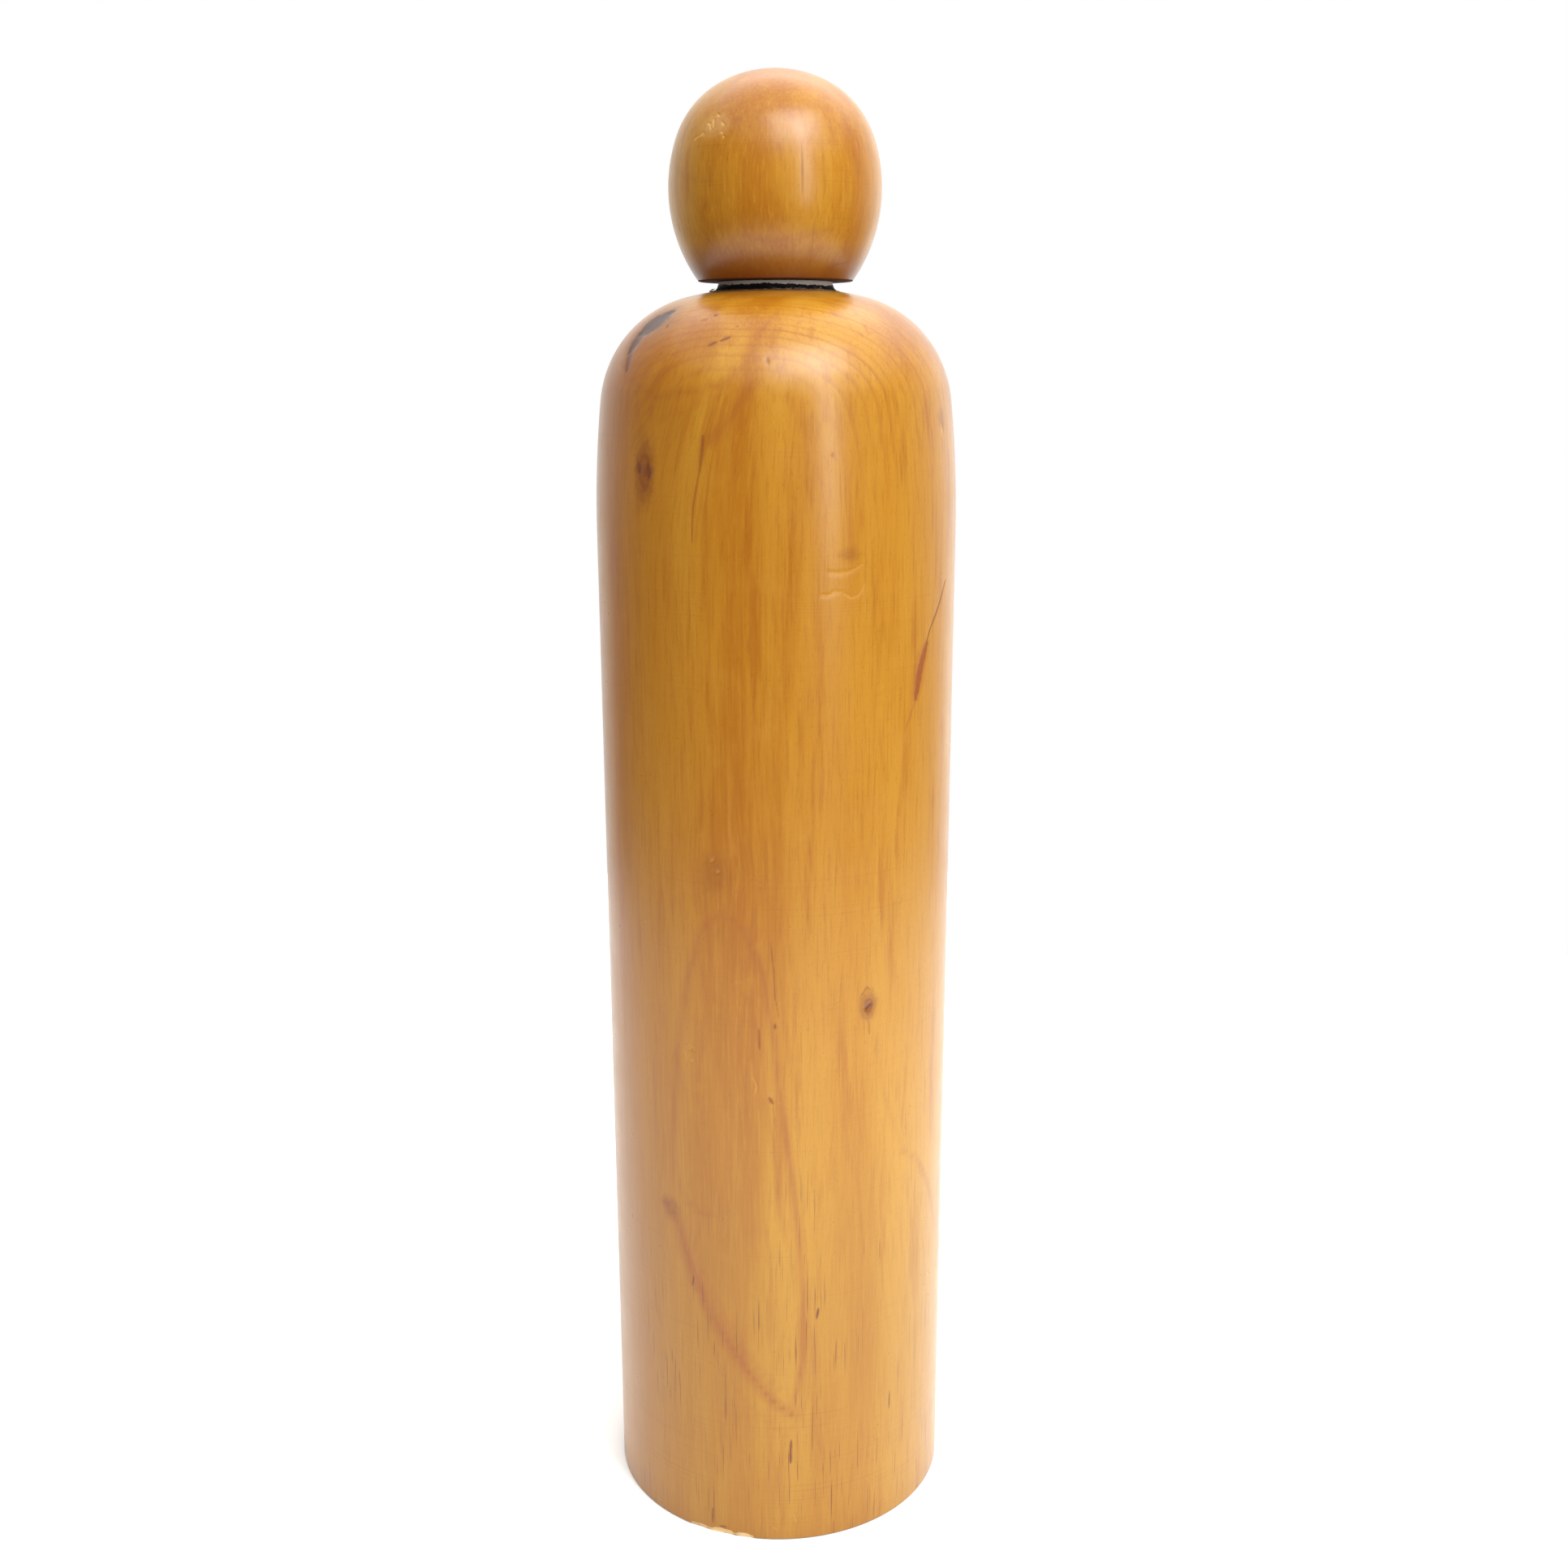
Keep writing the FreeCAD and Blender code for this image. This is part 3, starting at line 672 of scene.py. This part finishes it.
# ---- materials

AMBER = srgb(184, 125, 22)
AMBER_PALE = srgb(200, 149, 48)
TAN = srgb(160, 117, 40)
AMBER_DEEP = srgb(166, 98, 16)
RING_TONE = srgb(150, 82, 28)
FIBRE_TONE = srgb(140, 80, 22)
BARK_AND_SHADOW_TONE = srgb(62, 35, 30)
RUST_TONE = srgb(144, 74, 18)
KNOT_AND_SHADE_TONE = srgb(122, 62, 20)
DENT_TONE = srgb(214, 160, 84)
CHIP_TONE = srgb(226, 192, 136)
PORE_TONE = srgb(110, 62, 26)
PAINTED_SHADE_TINT = (0.81, 0.72, 0.60, 1.0)
RING_WIDTH = 1.35


def lacquered_wood(name, base_height, base_shade, pore_height, painted_shade_strength, painted_left_shade, ring_strength,
                   lathe_low, lathe_high, dent_tint):
    """Amber softwood under clear lacquer, read through the fields that a turned piece stores.

    The flat base is at base_height, in metres, and base_shade is how much painted shade darkens the wood
    just above it.
    Below pore_height, in metres, the pores show as short dark lines and the lathe's lines go from
    lathe_high to lathe_low. painted_shade_strength is how much painted shade darkens the upper part,
    painted_left_shade how much painted shade darkens the left side, and dent_tint how much paler the
    dents are: partly crushed lacquer, partly a painted highlight along them.
    """
    s = Shader(name)
    grain, here = s.attribute("grain", "Vector"), s.here()
    place = s.node("ShaderNodeSeparateXYZ", {0: here})
    height = place.outputs["Z"]

    broad = s.noise(s.scaled(grain, 40, 40, 4), detail=3, roughness=0.55)
    streak = s.noise(s.scaled(grain, 300, 300, 22), detail=4, roughness=0.6)
    fibre = s.noise(s.scaled(grain, 1700, 1700, 90), detail=3, roughness=0.6)
    mottle = s.noise(here, scale=120, detail=4, roughness=0.6)
    fleck = s.noise(s.scaled(grain, 2400, 2400, 700), detail=2, roughness=0.6)
    colour = s.mix(s.between(broad, 0.35, 0.68), AMBER, AMBER_PALE)
    for tone, field, low, high, most in (
            (AMBER_DEEP, broad, 0.52, 0.32, 0.55), (AMBER_DEEP, streak, 0.50, 0.30, 0.50),
            (AMBER_PALE, streak, 0.52, 0.74, 0.45), (FIBRE_TONE, fibre, 0.50, 0.30, 0.26),
            (AMBER_PALE, fibre, 0.52, 0.70, 0.36), (TAN, fleck, 0.55, 0.75, 0.22),
            (FIBRE_TONE, fleck, 0.45, 0.28, 0.18), (AMBER_PALE, mottle, 0.55, 0.75, 0.25)):
        colour = s.tint(colour, tone, field, low, high, most)

    # painted shade: the left side is darker, turned away from the lights on the right
    left = s.plus(place.outputs["X"], s.spread(broad, -0.012, 0.012))
    colour = s.tint(colour, AMBER_DEEP, left, -0.004, -0.040, painted_left_shade)

    # painted light and shade: paler towards the foot, standing in for light bounced up from the floor, and
    # darker from the lowest third up, less so on the shoulder's top and on the head, standing in for that
    # light falling away with height
    rise = s.plus(height, s.spread(broad, -0.04, 0.04))
    colour = s.tint(colour, TAN, rise, 0.150, 0.050, 0.45)
    painted_shade_share = s.times(s.between(rise, 0.085, 0.185, out_low=0.35), s.between(rise, 0.300, 0.270, out_low=0.5),
                   painted_shade_strength)
    colour = s.mix(painted_shade_share, colour, s.mix(1.0, colour, PAINTED_SHADE_TINT, "MULTIPLY"))

    # growth rings: each darkens slowly and ends at an edge, and some are stronger than others
    drift = s.noise(s.scaled(grain, 60, 60, 10), detail=3, roughness=0.55)
    rings = s.plus(s.attribute("rings"), s.spread(drift, -0.55, 0.55))
    rings = s.plus(rings, s.spread(streak, -0.12, 0.12))
    turns = s.math("DIVIDE", rings, RING_WIDTH)
    share, index = s.math("FRACT", turns), s.math("FLOOR", turns)
    chance = s.node("ShaderNodeTexWhiteNoise", {"W": index}, noise_dimensions="1D").outputs["Value"]
    late = s.times(s.between(share, 0.45, 0.95), s.between(share, 1.0, 0.96))
    late = s.times(late, s.between(chance, 0.1, 1.0, False, 0.05, 0.30), ring_strength,
                   s.between(height, 0.255, 0.29, out_low=0.35, out_high=1.7))
    colour = s.mix(late, colour, RING_TONE)

    # veils: soft lines of darker growth, with a darker core
    veil = s.plus(s.attribute("veil"), s.spread(streak, -0.6, 0.6))
    veil = s.plus(s.between(veil, 2.3, 0.2, out_high=0.75), s.between(veil, 0.75, 0.1, out_high=0.5))
    colour = s.mix(s.times(veil, s.attribute("veil_strength")), colour, RING_TONE)

    # pores: short dark upright lines, most of them near the foot
    pore = s.noise(s.scaled(grain, 2600, 2600, 70), detail=1, roughness=0.4)
    gather = s.noise(s.scaled(grain, 70, 70, 30), detail=2)
    pore = s.times(s.between(pore, 0.64, 0.72), s.between(gather, 0.36, 0.58))
    near_foot = s.between(height, pore_height, pore_height * 0.45, out_low=0.03)
    colour = s.mix(s.times(pore, near_foot, 0.75), colour, PORE_TONE)

    # fine lines left by the lathe, in patches
    turned = s.noise(s.scaled(here, 9, 9, 2600), detail=2, roughness=0.7)
    patch = s.between(s.noise(here, scale=42, detail=2), 0.38, 0.66, out_low=0.15)
    lines = s.times(s.between(turned, 0.56, 0.72), patch)
    lathe = s.between(height, pore_height, pore_height * 0.3, out_low=lathe_high, out_high=lathe_low)
    colour = s.mix(s.times(lines, lathe), colour, FIBRE_TONE)

    # knots: a brown halo with rings of its own
    ragged = s.noise(here, scale=520, detail=3, roughness=0.6)
    knot = s.plus(s.attribute("knot"), s.spread(ragged, -0.30, 0.30))
    shade = s.attribute("knot_shade")
    swirl = s.math("SINE", s.math("MULTIPLY", knot, 19.0))
    halo = s.times(s.between(knot, 1.25, 0.25), s.between(swirl, -1, 1, False, 0.75, 1.0))
    dark, pale = s.between(shade, -0.01, 0.0), s.between(shade, 0.0, -0.01)
    colour = s.mix(s.times(halo, shade, 0.85, dark), colour, KNOT_AND_SHADE_TONE)
    colour = s.mix(s.times(halo, s.math("ABSOLUTE", shade), pale), colour, CHIP_TONE)

    # painted shade: the wood is darker just above its flat base, and the flat base itself is bare,
    # unlacquered wood darkened with painted contact shadow
    shade_above_base = s.between(height, base_height + 0.0075, base_height + 0.0005, False, out_high=base_shade)
    colour = s.mix(shade_above_base, colour, KNOT_AND_SHADE_TONE)
    bare = s.between(height, base_height + 0.0003, base_height + 0.0001)
    colour = s.mix(s.times(bare, 0.85), colour, BARK_AND_SHADOW_TONE)

    # stains, cracks and bark, then dents and chips, whose edges are a little ragged
    edge = s.spread(ragged, -0.55, 0.55)
    stain = s.plus(s.attribute("stain"), edge)
    stain = s.math("MAXIMUM", s.between(stain, 1.35, 0.55), s.between(stain, 2.8, 0.8, out_high=0.35))
    tone = s.mix(s.attribute("stain_red"), BARK_AND_SHADOW_TONE, RUST_TONE)
    cloud = s.noise(here, scale=900, detail=3, roughness=0.7)
    tone = s.tint(tone, KNOT_AND_SHADE_TONE, cloud, 0.4, 0.7, 0.35)
    colour = s.mix(s.times(stain, s.attribute("stain_strength")), colour, tone)
    # the dents are paler: partly crushed lacquer, partly a painted highlight along them
    colour = s.tint(colour, DENT_TONE, s.plus(s.attribute("dent"), edge), 1.4, 0.2, dent_tint)
    chip = s.between(s.plus(s.attribute("chip"), edge), 1.7, 1.1)
    colour = s.mix(chip, colour, CHIP_TONE)

    # lacquer: fibres and lathe lines telegraph through it, and it is dull where it is broken
    soft = s.bump(fibre, 0.00002, 0.5)
    soft = s.bump(turned, 0.000012, lathe_low, soft)
    soft = s.bump(s.noise(here, scale=90, detail=2), 0.00015, 0.35, soft)
    soft = s.bump(ragged, 0.00025, s.spread(chip, 0.0, 0.9), soft)
    rough = s.between(mottle, 0.3, 0.7, False, 0.27, 0.34)
    rough = s.plus(rough, s.times(s.math("MAXIMUM", chip, stain), 0.10))
    rough = s.plus(rough, s.times(bare, 0.45))
    s.set(Base_Color=colour, Roughness=rough, Normal=soft, Specular_IOR_Level=0.38)
    s.set(Coat_Weight=s.spread(bare, 0.25, 0.0), Coat_Roughness=0.22, Coat_IOR=1.5)
    return s.material


def bare_collar_wood():
    """The pale, dry top of the collar that shows where its black paint has gone."""
    s = Shader("bare_collar")
    here = s.here()
    grain = s.noise(s.scaled(here, 900, 900, 900), detail=4, roughness=0.65)
    specks = s.noise(here, scale=1500, detail=3, roughness=0.7)
    colour = s.mix(s.between(grain, 0.3, 0.7), srgb(247, 246, 236), srgb(254, 254, 250))
    colour = s.tint(colour, srgb(70, 62, 54), specks, 0.64, 0.70, 0.8)
    s.set(Base_Color=colour, Roughness=0.85, Normal=s.bump(grain, 0.0002, 0.6), Specular_IOR_Level=0.2)
    return s.material


def black_paint():
    """Dry black paint, greyed where it is scuffed."""
    s = Shader("black_paint")
    here = s.here()
    scuff = s.noise(s.scaled(here, 420, 420, 1300), detail=5, roughness=0.7)
    colour = s.mix(s.between(scuff, 0.52, 0.78), srgb(27, 23, 27), srgb(84, 76, 78))
    height = s.node("ShaderNodeSeparateXYZ", {0: here}).outputs["Z"]
    rise = s.plus(height, s.between(scuff, 0.2, 0.8, False, -0.0003, 0.0003))
    colour = s.tint(colour, srgb(138, 96, 70), rise, (CREST + 0.35) * MM, (CREST + 0.05) * MM, 0.7)
    s.set(Base_Color=colour, Roughness=s.between(scuff, 0.3, 0.8, False, 0.42, 0.75),
          Normal=s.bump(scuff, 0.0001, 0.6))
    return s.material


def lint(name, pale, dark):
    """Loose fibre: dry, and uneven from strand to strand."""
    s = Shader(name)
    tone = s.noise(s.here(), scale=700, detail=3, roughness=0.6)
    s.set(Base_Color=s.mix(s.between(tone, 0.35, 0.65), dark, pale), Roughness=0.95,
          Normal=s.bump(tone, 0.00005, 0.5), Specular_IOR_Level=0.1, Sheen_Weight=0.3)
    return s.material


def peg_wood():
    """Plain hardwood with straight upright grain, bare and a little waxed."""
    s = Shader("peg_hardwood")
    here = s.here()
    streak = s.noise(s.scaled(here, 700, 700, 18), detail=4, roughness=0.6)
    fibre = s.noise(s.scaled(here, 3000, 3000, 60), detail=2)
    colour = s.mix(s.between(streak, 0.3, 0.7), srgb(150, 108, 66), srgb(196, 152, 102))
    colour = s.tint(colour, srgb(110, 74, 42), fibre, 0.5, 0.3, 0.4)
    s.set(Base_Color=colour, Roughness=s.between(streak, 0.3, 0.7, False, 0.5, 0.62),
          Normal=s.bump(fibre, 0.00003, 0.6))
    return s.material


def pale_floor():
    """The plain pale surface that the doll stands on."""
    s = Shader("pale_floor")
    tone = s.noise(s.here(), scale=6, detail=3)
    s.set(Base_Color=s.mix(tone, (0.92, 0.92, 0.915, 1), (0.955, 0.955, 0.95, 1)), Roughness=0.7)
    return s.material


# ---- turned pieces

def body_skin(line):
    """The trunk's outer surface: from where its foot's edge turns up to the edge of the collar's seat."""
    nearly_full = GIRTH * 0.97
    outer = np.argmax(line.points[:, 0] > nearly_full)
    crest = np.flatnonzero(np.abs(line.points[:, 1] - CREST) < SAME_LEVEL)[0]
    return line.walked[outer], line.walked[crest]


def head_skin(line):
    """The head's outer surface: from its flat base's edge to the crown."""
    low = np.flatnonzero(np.abs(line.points[:, 1] - CHIN) < SAME_LEVEL)[-1]
    return line.walked[low], line.walked[-1]


def make_body():
    body = turned_piece("turned_body", "body", BODY_MARKS, body_skin,
                        columns=256, step=2.2, split=4, rows_above=12.0)
    body.data.materials.append(lacquered_wood(
        "body_lacquered_wood", base_height=0.0, base_shade=0.12, pore_height=0.125, painted_shade_strength=1.0,
        painted_left_shade=0.45, ring_strength=1.0, lathe_low=0.34, lathe_high=0.14, dent_tint=0.26))
    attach(body, "trunk")
    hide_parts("body")


def make_head():
    head = turned_piece("turned_head", "head", HEAD_MARKS, head_skin,
                        columns=224, step=0.8, split=3, rows_above=0.5)
    head.data.materials.append(lacquered_wood(
        "head_lacquered_wood", base_height=CHIN * MM, base_shade=0.75, pore_height=0.01, painted_shade_strength=1.2,
        painted_left_shade=0.0, ring_strength=0.12, lathe_low=0.34, lathe_high=0.34, dent_tint=0.75))
    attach(head, "head")
    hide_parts("head")


def finish_node(node, material):
    """Gives a CAD node that keeps its own shape a detailed material."""
    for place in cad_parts[node].material_slots:
        place.material = material


# ---- paint and lint on the collar

COLLAR_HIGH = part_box("neck_collar")[1].z / MM
# a radius between the collar's bore and its outside, and how much of its top is always bare
COLLAR_WALL, BARE_TOP = 10.0, 0.2
PAINT_THICK, PAINT_SUNK, PAINT_LEAST, PAINT_TOP = 0.09, 0.02, 0.3, 303.30
PAINT_COLUMNS, PAINT_ROWS = 720, 12
# the waves round the paint's ragged upper edge: how many, and their size
PAINT_WAVES = ((3, 0.08), (7, 0.064), (13, 0.056), (29, 0.056), (61, 0.048), (97, 0.04), (151, 0.032))
# where more of the paint has flaked, how far round that reaches, and how much is gone
FLAKED_BEARING, FLAKED_REACH, FLAKED_DEPTH = 40, 26, 0.35


def collar_side():
    """The collar's outside above the trunk, foot to top, as (radius, height) points."""
    points = outline("neck_collar")
    low = np.flatnonzero((np.abs(points[:, 1] - CREST) < SAME_LEVEL) & (points[:, 0] > COLLAR_WALL))[0]
    side = points[low:] if points[low + 1, 1] > CREST else points[low::-1]
    top = np.argmax(side[:, 1] > COLLAR_HIGH - BARE_TOP)
    return Outline(side[:top + 1])


def make_paint():
    """The black paint: a thin closed skin on the collar's flare, with a ragged upper edge."""
    side = collar_side()
    turn = np.arange(PAINT_COLUMNS) * 2 * np.pi / PAINT_COLUMNS
    rng = np.random.default_rng(11)
    ragged = np.zeros(PAINT_COLUMNS)
    for waves, size in PAINT_WAVES:
        ragged += size * np.sin(waves * turn + rng.uniform(0, 2 * np.pi))
    bearing = (np.degrees(turn) + 180) % 360 - 180
    flaked = FLAKED_DEPTH * np.exp(-((bearing - FLAKED_BEARING) / FLAKED_REACH) ** 2)
    height = np.clip(PAINT_TOP + ragged - flaked, CREST + PAINT_LEAST, COLLAR_HIGH - BARE_TOP)
    top = Skin(side, 0.0, side.walked[-1]).distance_at(height)
    levels = np.linspace(0.0, 1.0, PAINT_ROWS)
    rings = []
    for offset, order in ((PAINT_THICK, levels), (-PAINT_SUNK, levels[::-1])):
        for level in order:
            walked = PAINT_SUNK + (top - PAINT_SUNK) * level
            radius, height = (side.at(walked) + side.normal(walked) * offset).T
            rings.append(np.stack([radius * np.sin(turn), -radius * np.cos(turn), height], axis=1))
    faces = []
    for ring in range(len(rings)):
        for i in range(PAINT_COLUMNS):
            a, b = ring * PAINT_COLUMNS, (ring + 1) % len(rings) * PAINT_COLUMNS
            after = (i + 1) % PAINT_COLUMNS
            faces.append((a + i, a + after, b + after, b + i))
    plain_piece("collar_paint", np.concatenate(rings), faces, black_paint(), "trunk")


def plain_piece(name, places, faces, material, body):
    """A finished mesh piece from points in millimetres, riding a body."""
    piece = mesh_piece(name, places, faces)
    piece.data.materials.append(material)
    clean(piece)
    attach(piece, body)


def strand(points, radius, sides=5):
    """A closed thin tube through points, tapered to both ends, as (places, faces)."""
    points = np.asarray(points, float)
    way = np.gradient(points, axis=0)
    way /= np.linalg.norm(way, axis=1)[:, None]
    places, faces, count = [], [], len(points)
    for k, (point, ahead) in enumerate(zip(points, way)):
        side = np.cross(ahead, (0.31, 0.17, 0.93))
        side /= np.linalg.norm(side)
        up = np.cross(ahead, side)
        thick = radius * (TIP + (1 - TIP) * math.sin(math.pi * (k + 0.5) / count))
        for n in range(sides):
            angle = 2 * math.pi * n / sides
            places.append(point + thick * (math.cos(angle) * side + math.sin(angle) * up))
    for k in range(count - 1):
        for n in range(sides):
            a, b = k * sides + n, k * sides + (n + 1) % sides
            faces.append((a, b, b + sides, a + sides))
    faces.append(tuple(range(sides))[::-1])
    faces.append(tuple((count - 1) * sides + n for n in range(sides)))
    return places, faces


STRAND_POINTS = 9
# how far the trunk's top falls outwards beside the collar
CREST_SLOPE = 0.17


def strands(name, seed, count, bearings, heights, lengths, radius, curl, material):
    """Loose fibres lying round the collar's foot, joined in one piece. Ranges are (least, most)."""
    rng = np.random.default_rng(seed)
    places, faces = [], []
    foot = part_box("neck_collar")[1].x / MM
    for _ in range(count):
        bearing, lift = rng.uniform(*bearings), rng.uniform(*heights)
        length, heading = rng.uniform(*lengths), rng.normal(0.0, 0.35)
        bend = rng.normal(0.0, curl)
        points = []
        for step in np.linspace(0.0, 1.0, STRAND_POINTS):
            angle = math.radians(bearing) + step * length * math.cos(heading) / foot
            rise = lift + step * length * math.sin(heading) * 0.5 + bend * math.sin(math.pi * step)
            radius_here = foot + 0.25 + 0.25 * math.sin(2 * math.pi * step + bend * 9)
            ground = CREST - (radius_here - foot) * CREST_SLOPE + radius * 0.6
            points.append((radius_here * math.sin(angle), -radius_here * math.cos(angle),
                           max(CREST + rise, ground)))
        more_places, more_faces = strand(points, radius * rng.uniform(0.7, 1.3))
        faces += [tuple(v + len(places) for v in face) for face in more_faces]
        places += more_places
    plain_piece(name, places, faces, material, "trunk")


# ---- camera, light and floor

LENS_MM, SENSOR_MM = 40.23, 36.0
CAMERA_PLACE = Vector((0.00167, -0.4228, 0.2874))
CAMERA_PITCH = math.radians(-13.7226)
CAMERA_ROLL = math.radians(-0.147)
FLOOR_REACH, FLOOR_SIDES = 550.0, 96


def make_camera():
    """The camera: just above the shoulder, looking a little down."""
    data = bpy.data.cameras.new("camera")
    data.lens, data.sensor_width = LENS_MM, SENSOR_MM
    data.clip_start = 0.01
    camera = in_scene("camera", data)
    pitched = Matrix.Rotation(math.pi / 2 + CAMERA_PITCH, 4, "X")
    rolled = Matrix.Rotation(CAMERA_ROLL, 4, "Z")
    camera.matrix_world = Matrix.Translation(CAMERA_PLACE) @ pitched @ rolled
    bpy.context.scene.camera = camera


def make_floor():
    """A round pale board under the doll. The room round it is as pale, so that its edge isn't seen."""
    turns = np.arange(FLOOR_SIDES) * 2 * np.pi / FLOOR_SIDES
    corners = [(FLOOR_REACH * math.cos(t), FLOOR_REACH * math.sin(t), 0.0) for t in turns]
    floor = mesh_piece("floor", corners, [tuple(range(FLOOR_SIDES))])
    floor.data.materials.append(pale_floor())


def softbox(name, bearing, elevation, distance, width, tall, power):
    """A rectangular light that faces the doll's middle, measured in metres and watts."""
    data = bpy.data.lights.new(name, "AREA")
    data.shape, data.size, data.size_y = "RECTANGLE", width, tall
    data.energy = power
    light = in_scene(name, data)
    turn, rise = math.radians(bearing), math.radians(elevation)
    way = Vector((math.cos(rise) * math.sin(turn), -math.cos(rise) * math.cos(turn), math.sin(rise)))
    middle = Vector((0.0, 0.0, HEAD_HIGH.z / 2))
    light.location = middle + way * distance
    light.rotation_euler = way.to_track_quat("Z", "Y").to_euler()


def overhead(strength):
    """Soft light from above and a little to the right, the same over the whole floor."""
    data = bpy.data.lights.new("overhead", "SUN")
    data.energy, data.angle = strength, math.radians(110)
    light = in_scene("overhead", data)
    light.rotation_euler = Vector((0.15, -0.15, 1.0)).to_track_quat("Z", "Y").to_euler()


def make_surroundings():
    """A pale room, bright behind the doll, above it and to its right. The camera sees it as white."""
    world = bpy.data.worlds.new("pale_room")
    bpy.context.scene.world = world
    world.use_nodes = True
    room = Nodes(world.node_tree)
    room.tree.nodes.clear()
    way = room.node("ShaderNodeTexCoord", {}).outputs["Generated"]
    side, depth, height = room.node("ShaderNodeSeparateXYZ", {0: way}).outputs
    dim_below = room.between(height, -0.25, 0.0, out_low=0.35)
    strength = room.times(
        room.between(depth, -0.1, 0.85, out_low=0.24, out_high=1.30),
        room.between(side, -0.8, 0.8, out_low=0.75, out_high=1.20),
        room.between(height, 0.4, 0.95, out_low=1.0, out_high=2.0),
        room.math("MAXIMUM", dim_below, room.between(depth, 0.35, 0.85)))
    lit = room.node("ShaderNodeBackground", {"Color": (1.0, 0.99, 0.97, 1), "Strength": strength})
    seen = room.node("ShaderNodeBackground", {"Color": (1.0, 1.0, 1.0, 1)})
    by_camera = room.node("ShaderNodeLightPath", {}).outputs["Is Camera Ray"]
    both = room.node("ShaderNodeMixShader", {0: by_camera, 1: lit.outputs[0], 2: seen.outputs[0]})
    room.node("ShaderNodeOutputWorld", {"Surface": both.outputs[0]})


# ---- the scene

make_camera()
make_floor()
make_surroundings()
softbox("window", bearing=33, elevation=26, distance=1.25, width=0.22, tall=1.42, power=6.6)
softbox("ceiling", bearing=28, elevation=54, distance=1.10, width=0.85, tall=0.50, power=8.0)
overhead(2.0)
bpy.context.scene.view_settings.view_transform = "Standard"

make_body()
make_head()
finish_node("neck_collar", bare_collar_wood())
finish_node("neck_peg", peg_wood())
make_paint()
PALE_LINT = lint("pale_lint", srgb(226, 222, 200), srgb(170, 160, 134))
TAN_LINT = lint("tan_lint", srgb(202, 170, 134), srgb(146, 112, 84))
strands("lint_pale", seed=3, count=9, bearings=(-70, 70), heights=(0.0, 0.2), lengths=(0.4, 1.0),
        radius=0.035, curl=0.10, material=PALE_LINT)
strands("lint_tan", seed=4, count=64, bearings=(-2, 46), heights=(0.0, 0.35), lengths=(0.4, 1.2),
        radius=0.03, curl=0.08, material=TAN_LINT)
strands("lint_left", seed=6, count=12, bearings=(-112, -68), heights=(0.0, 0.3), lengths=(0.9, 2.4),
        radius=0.06, curl=0.12, material=PALE_LINT)
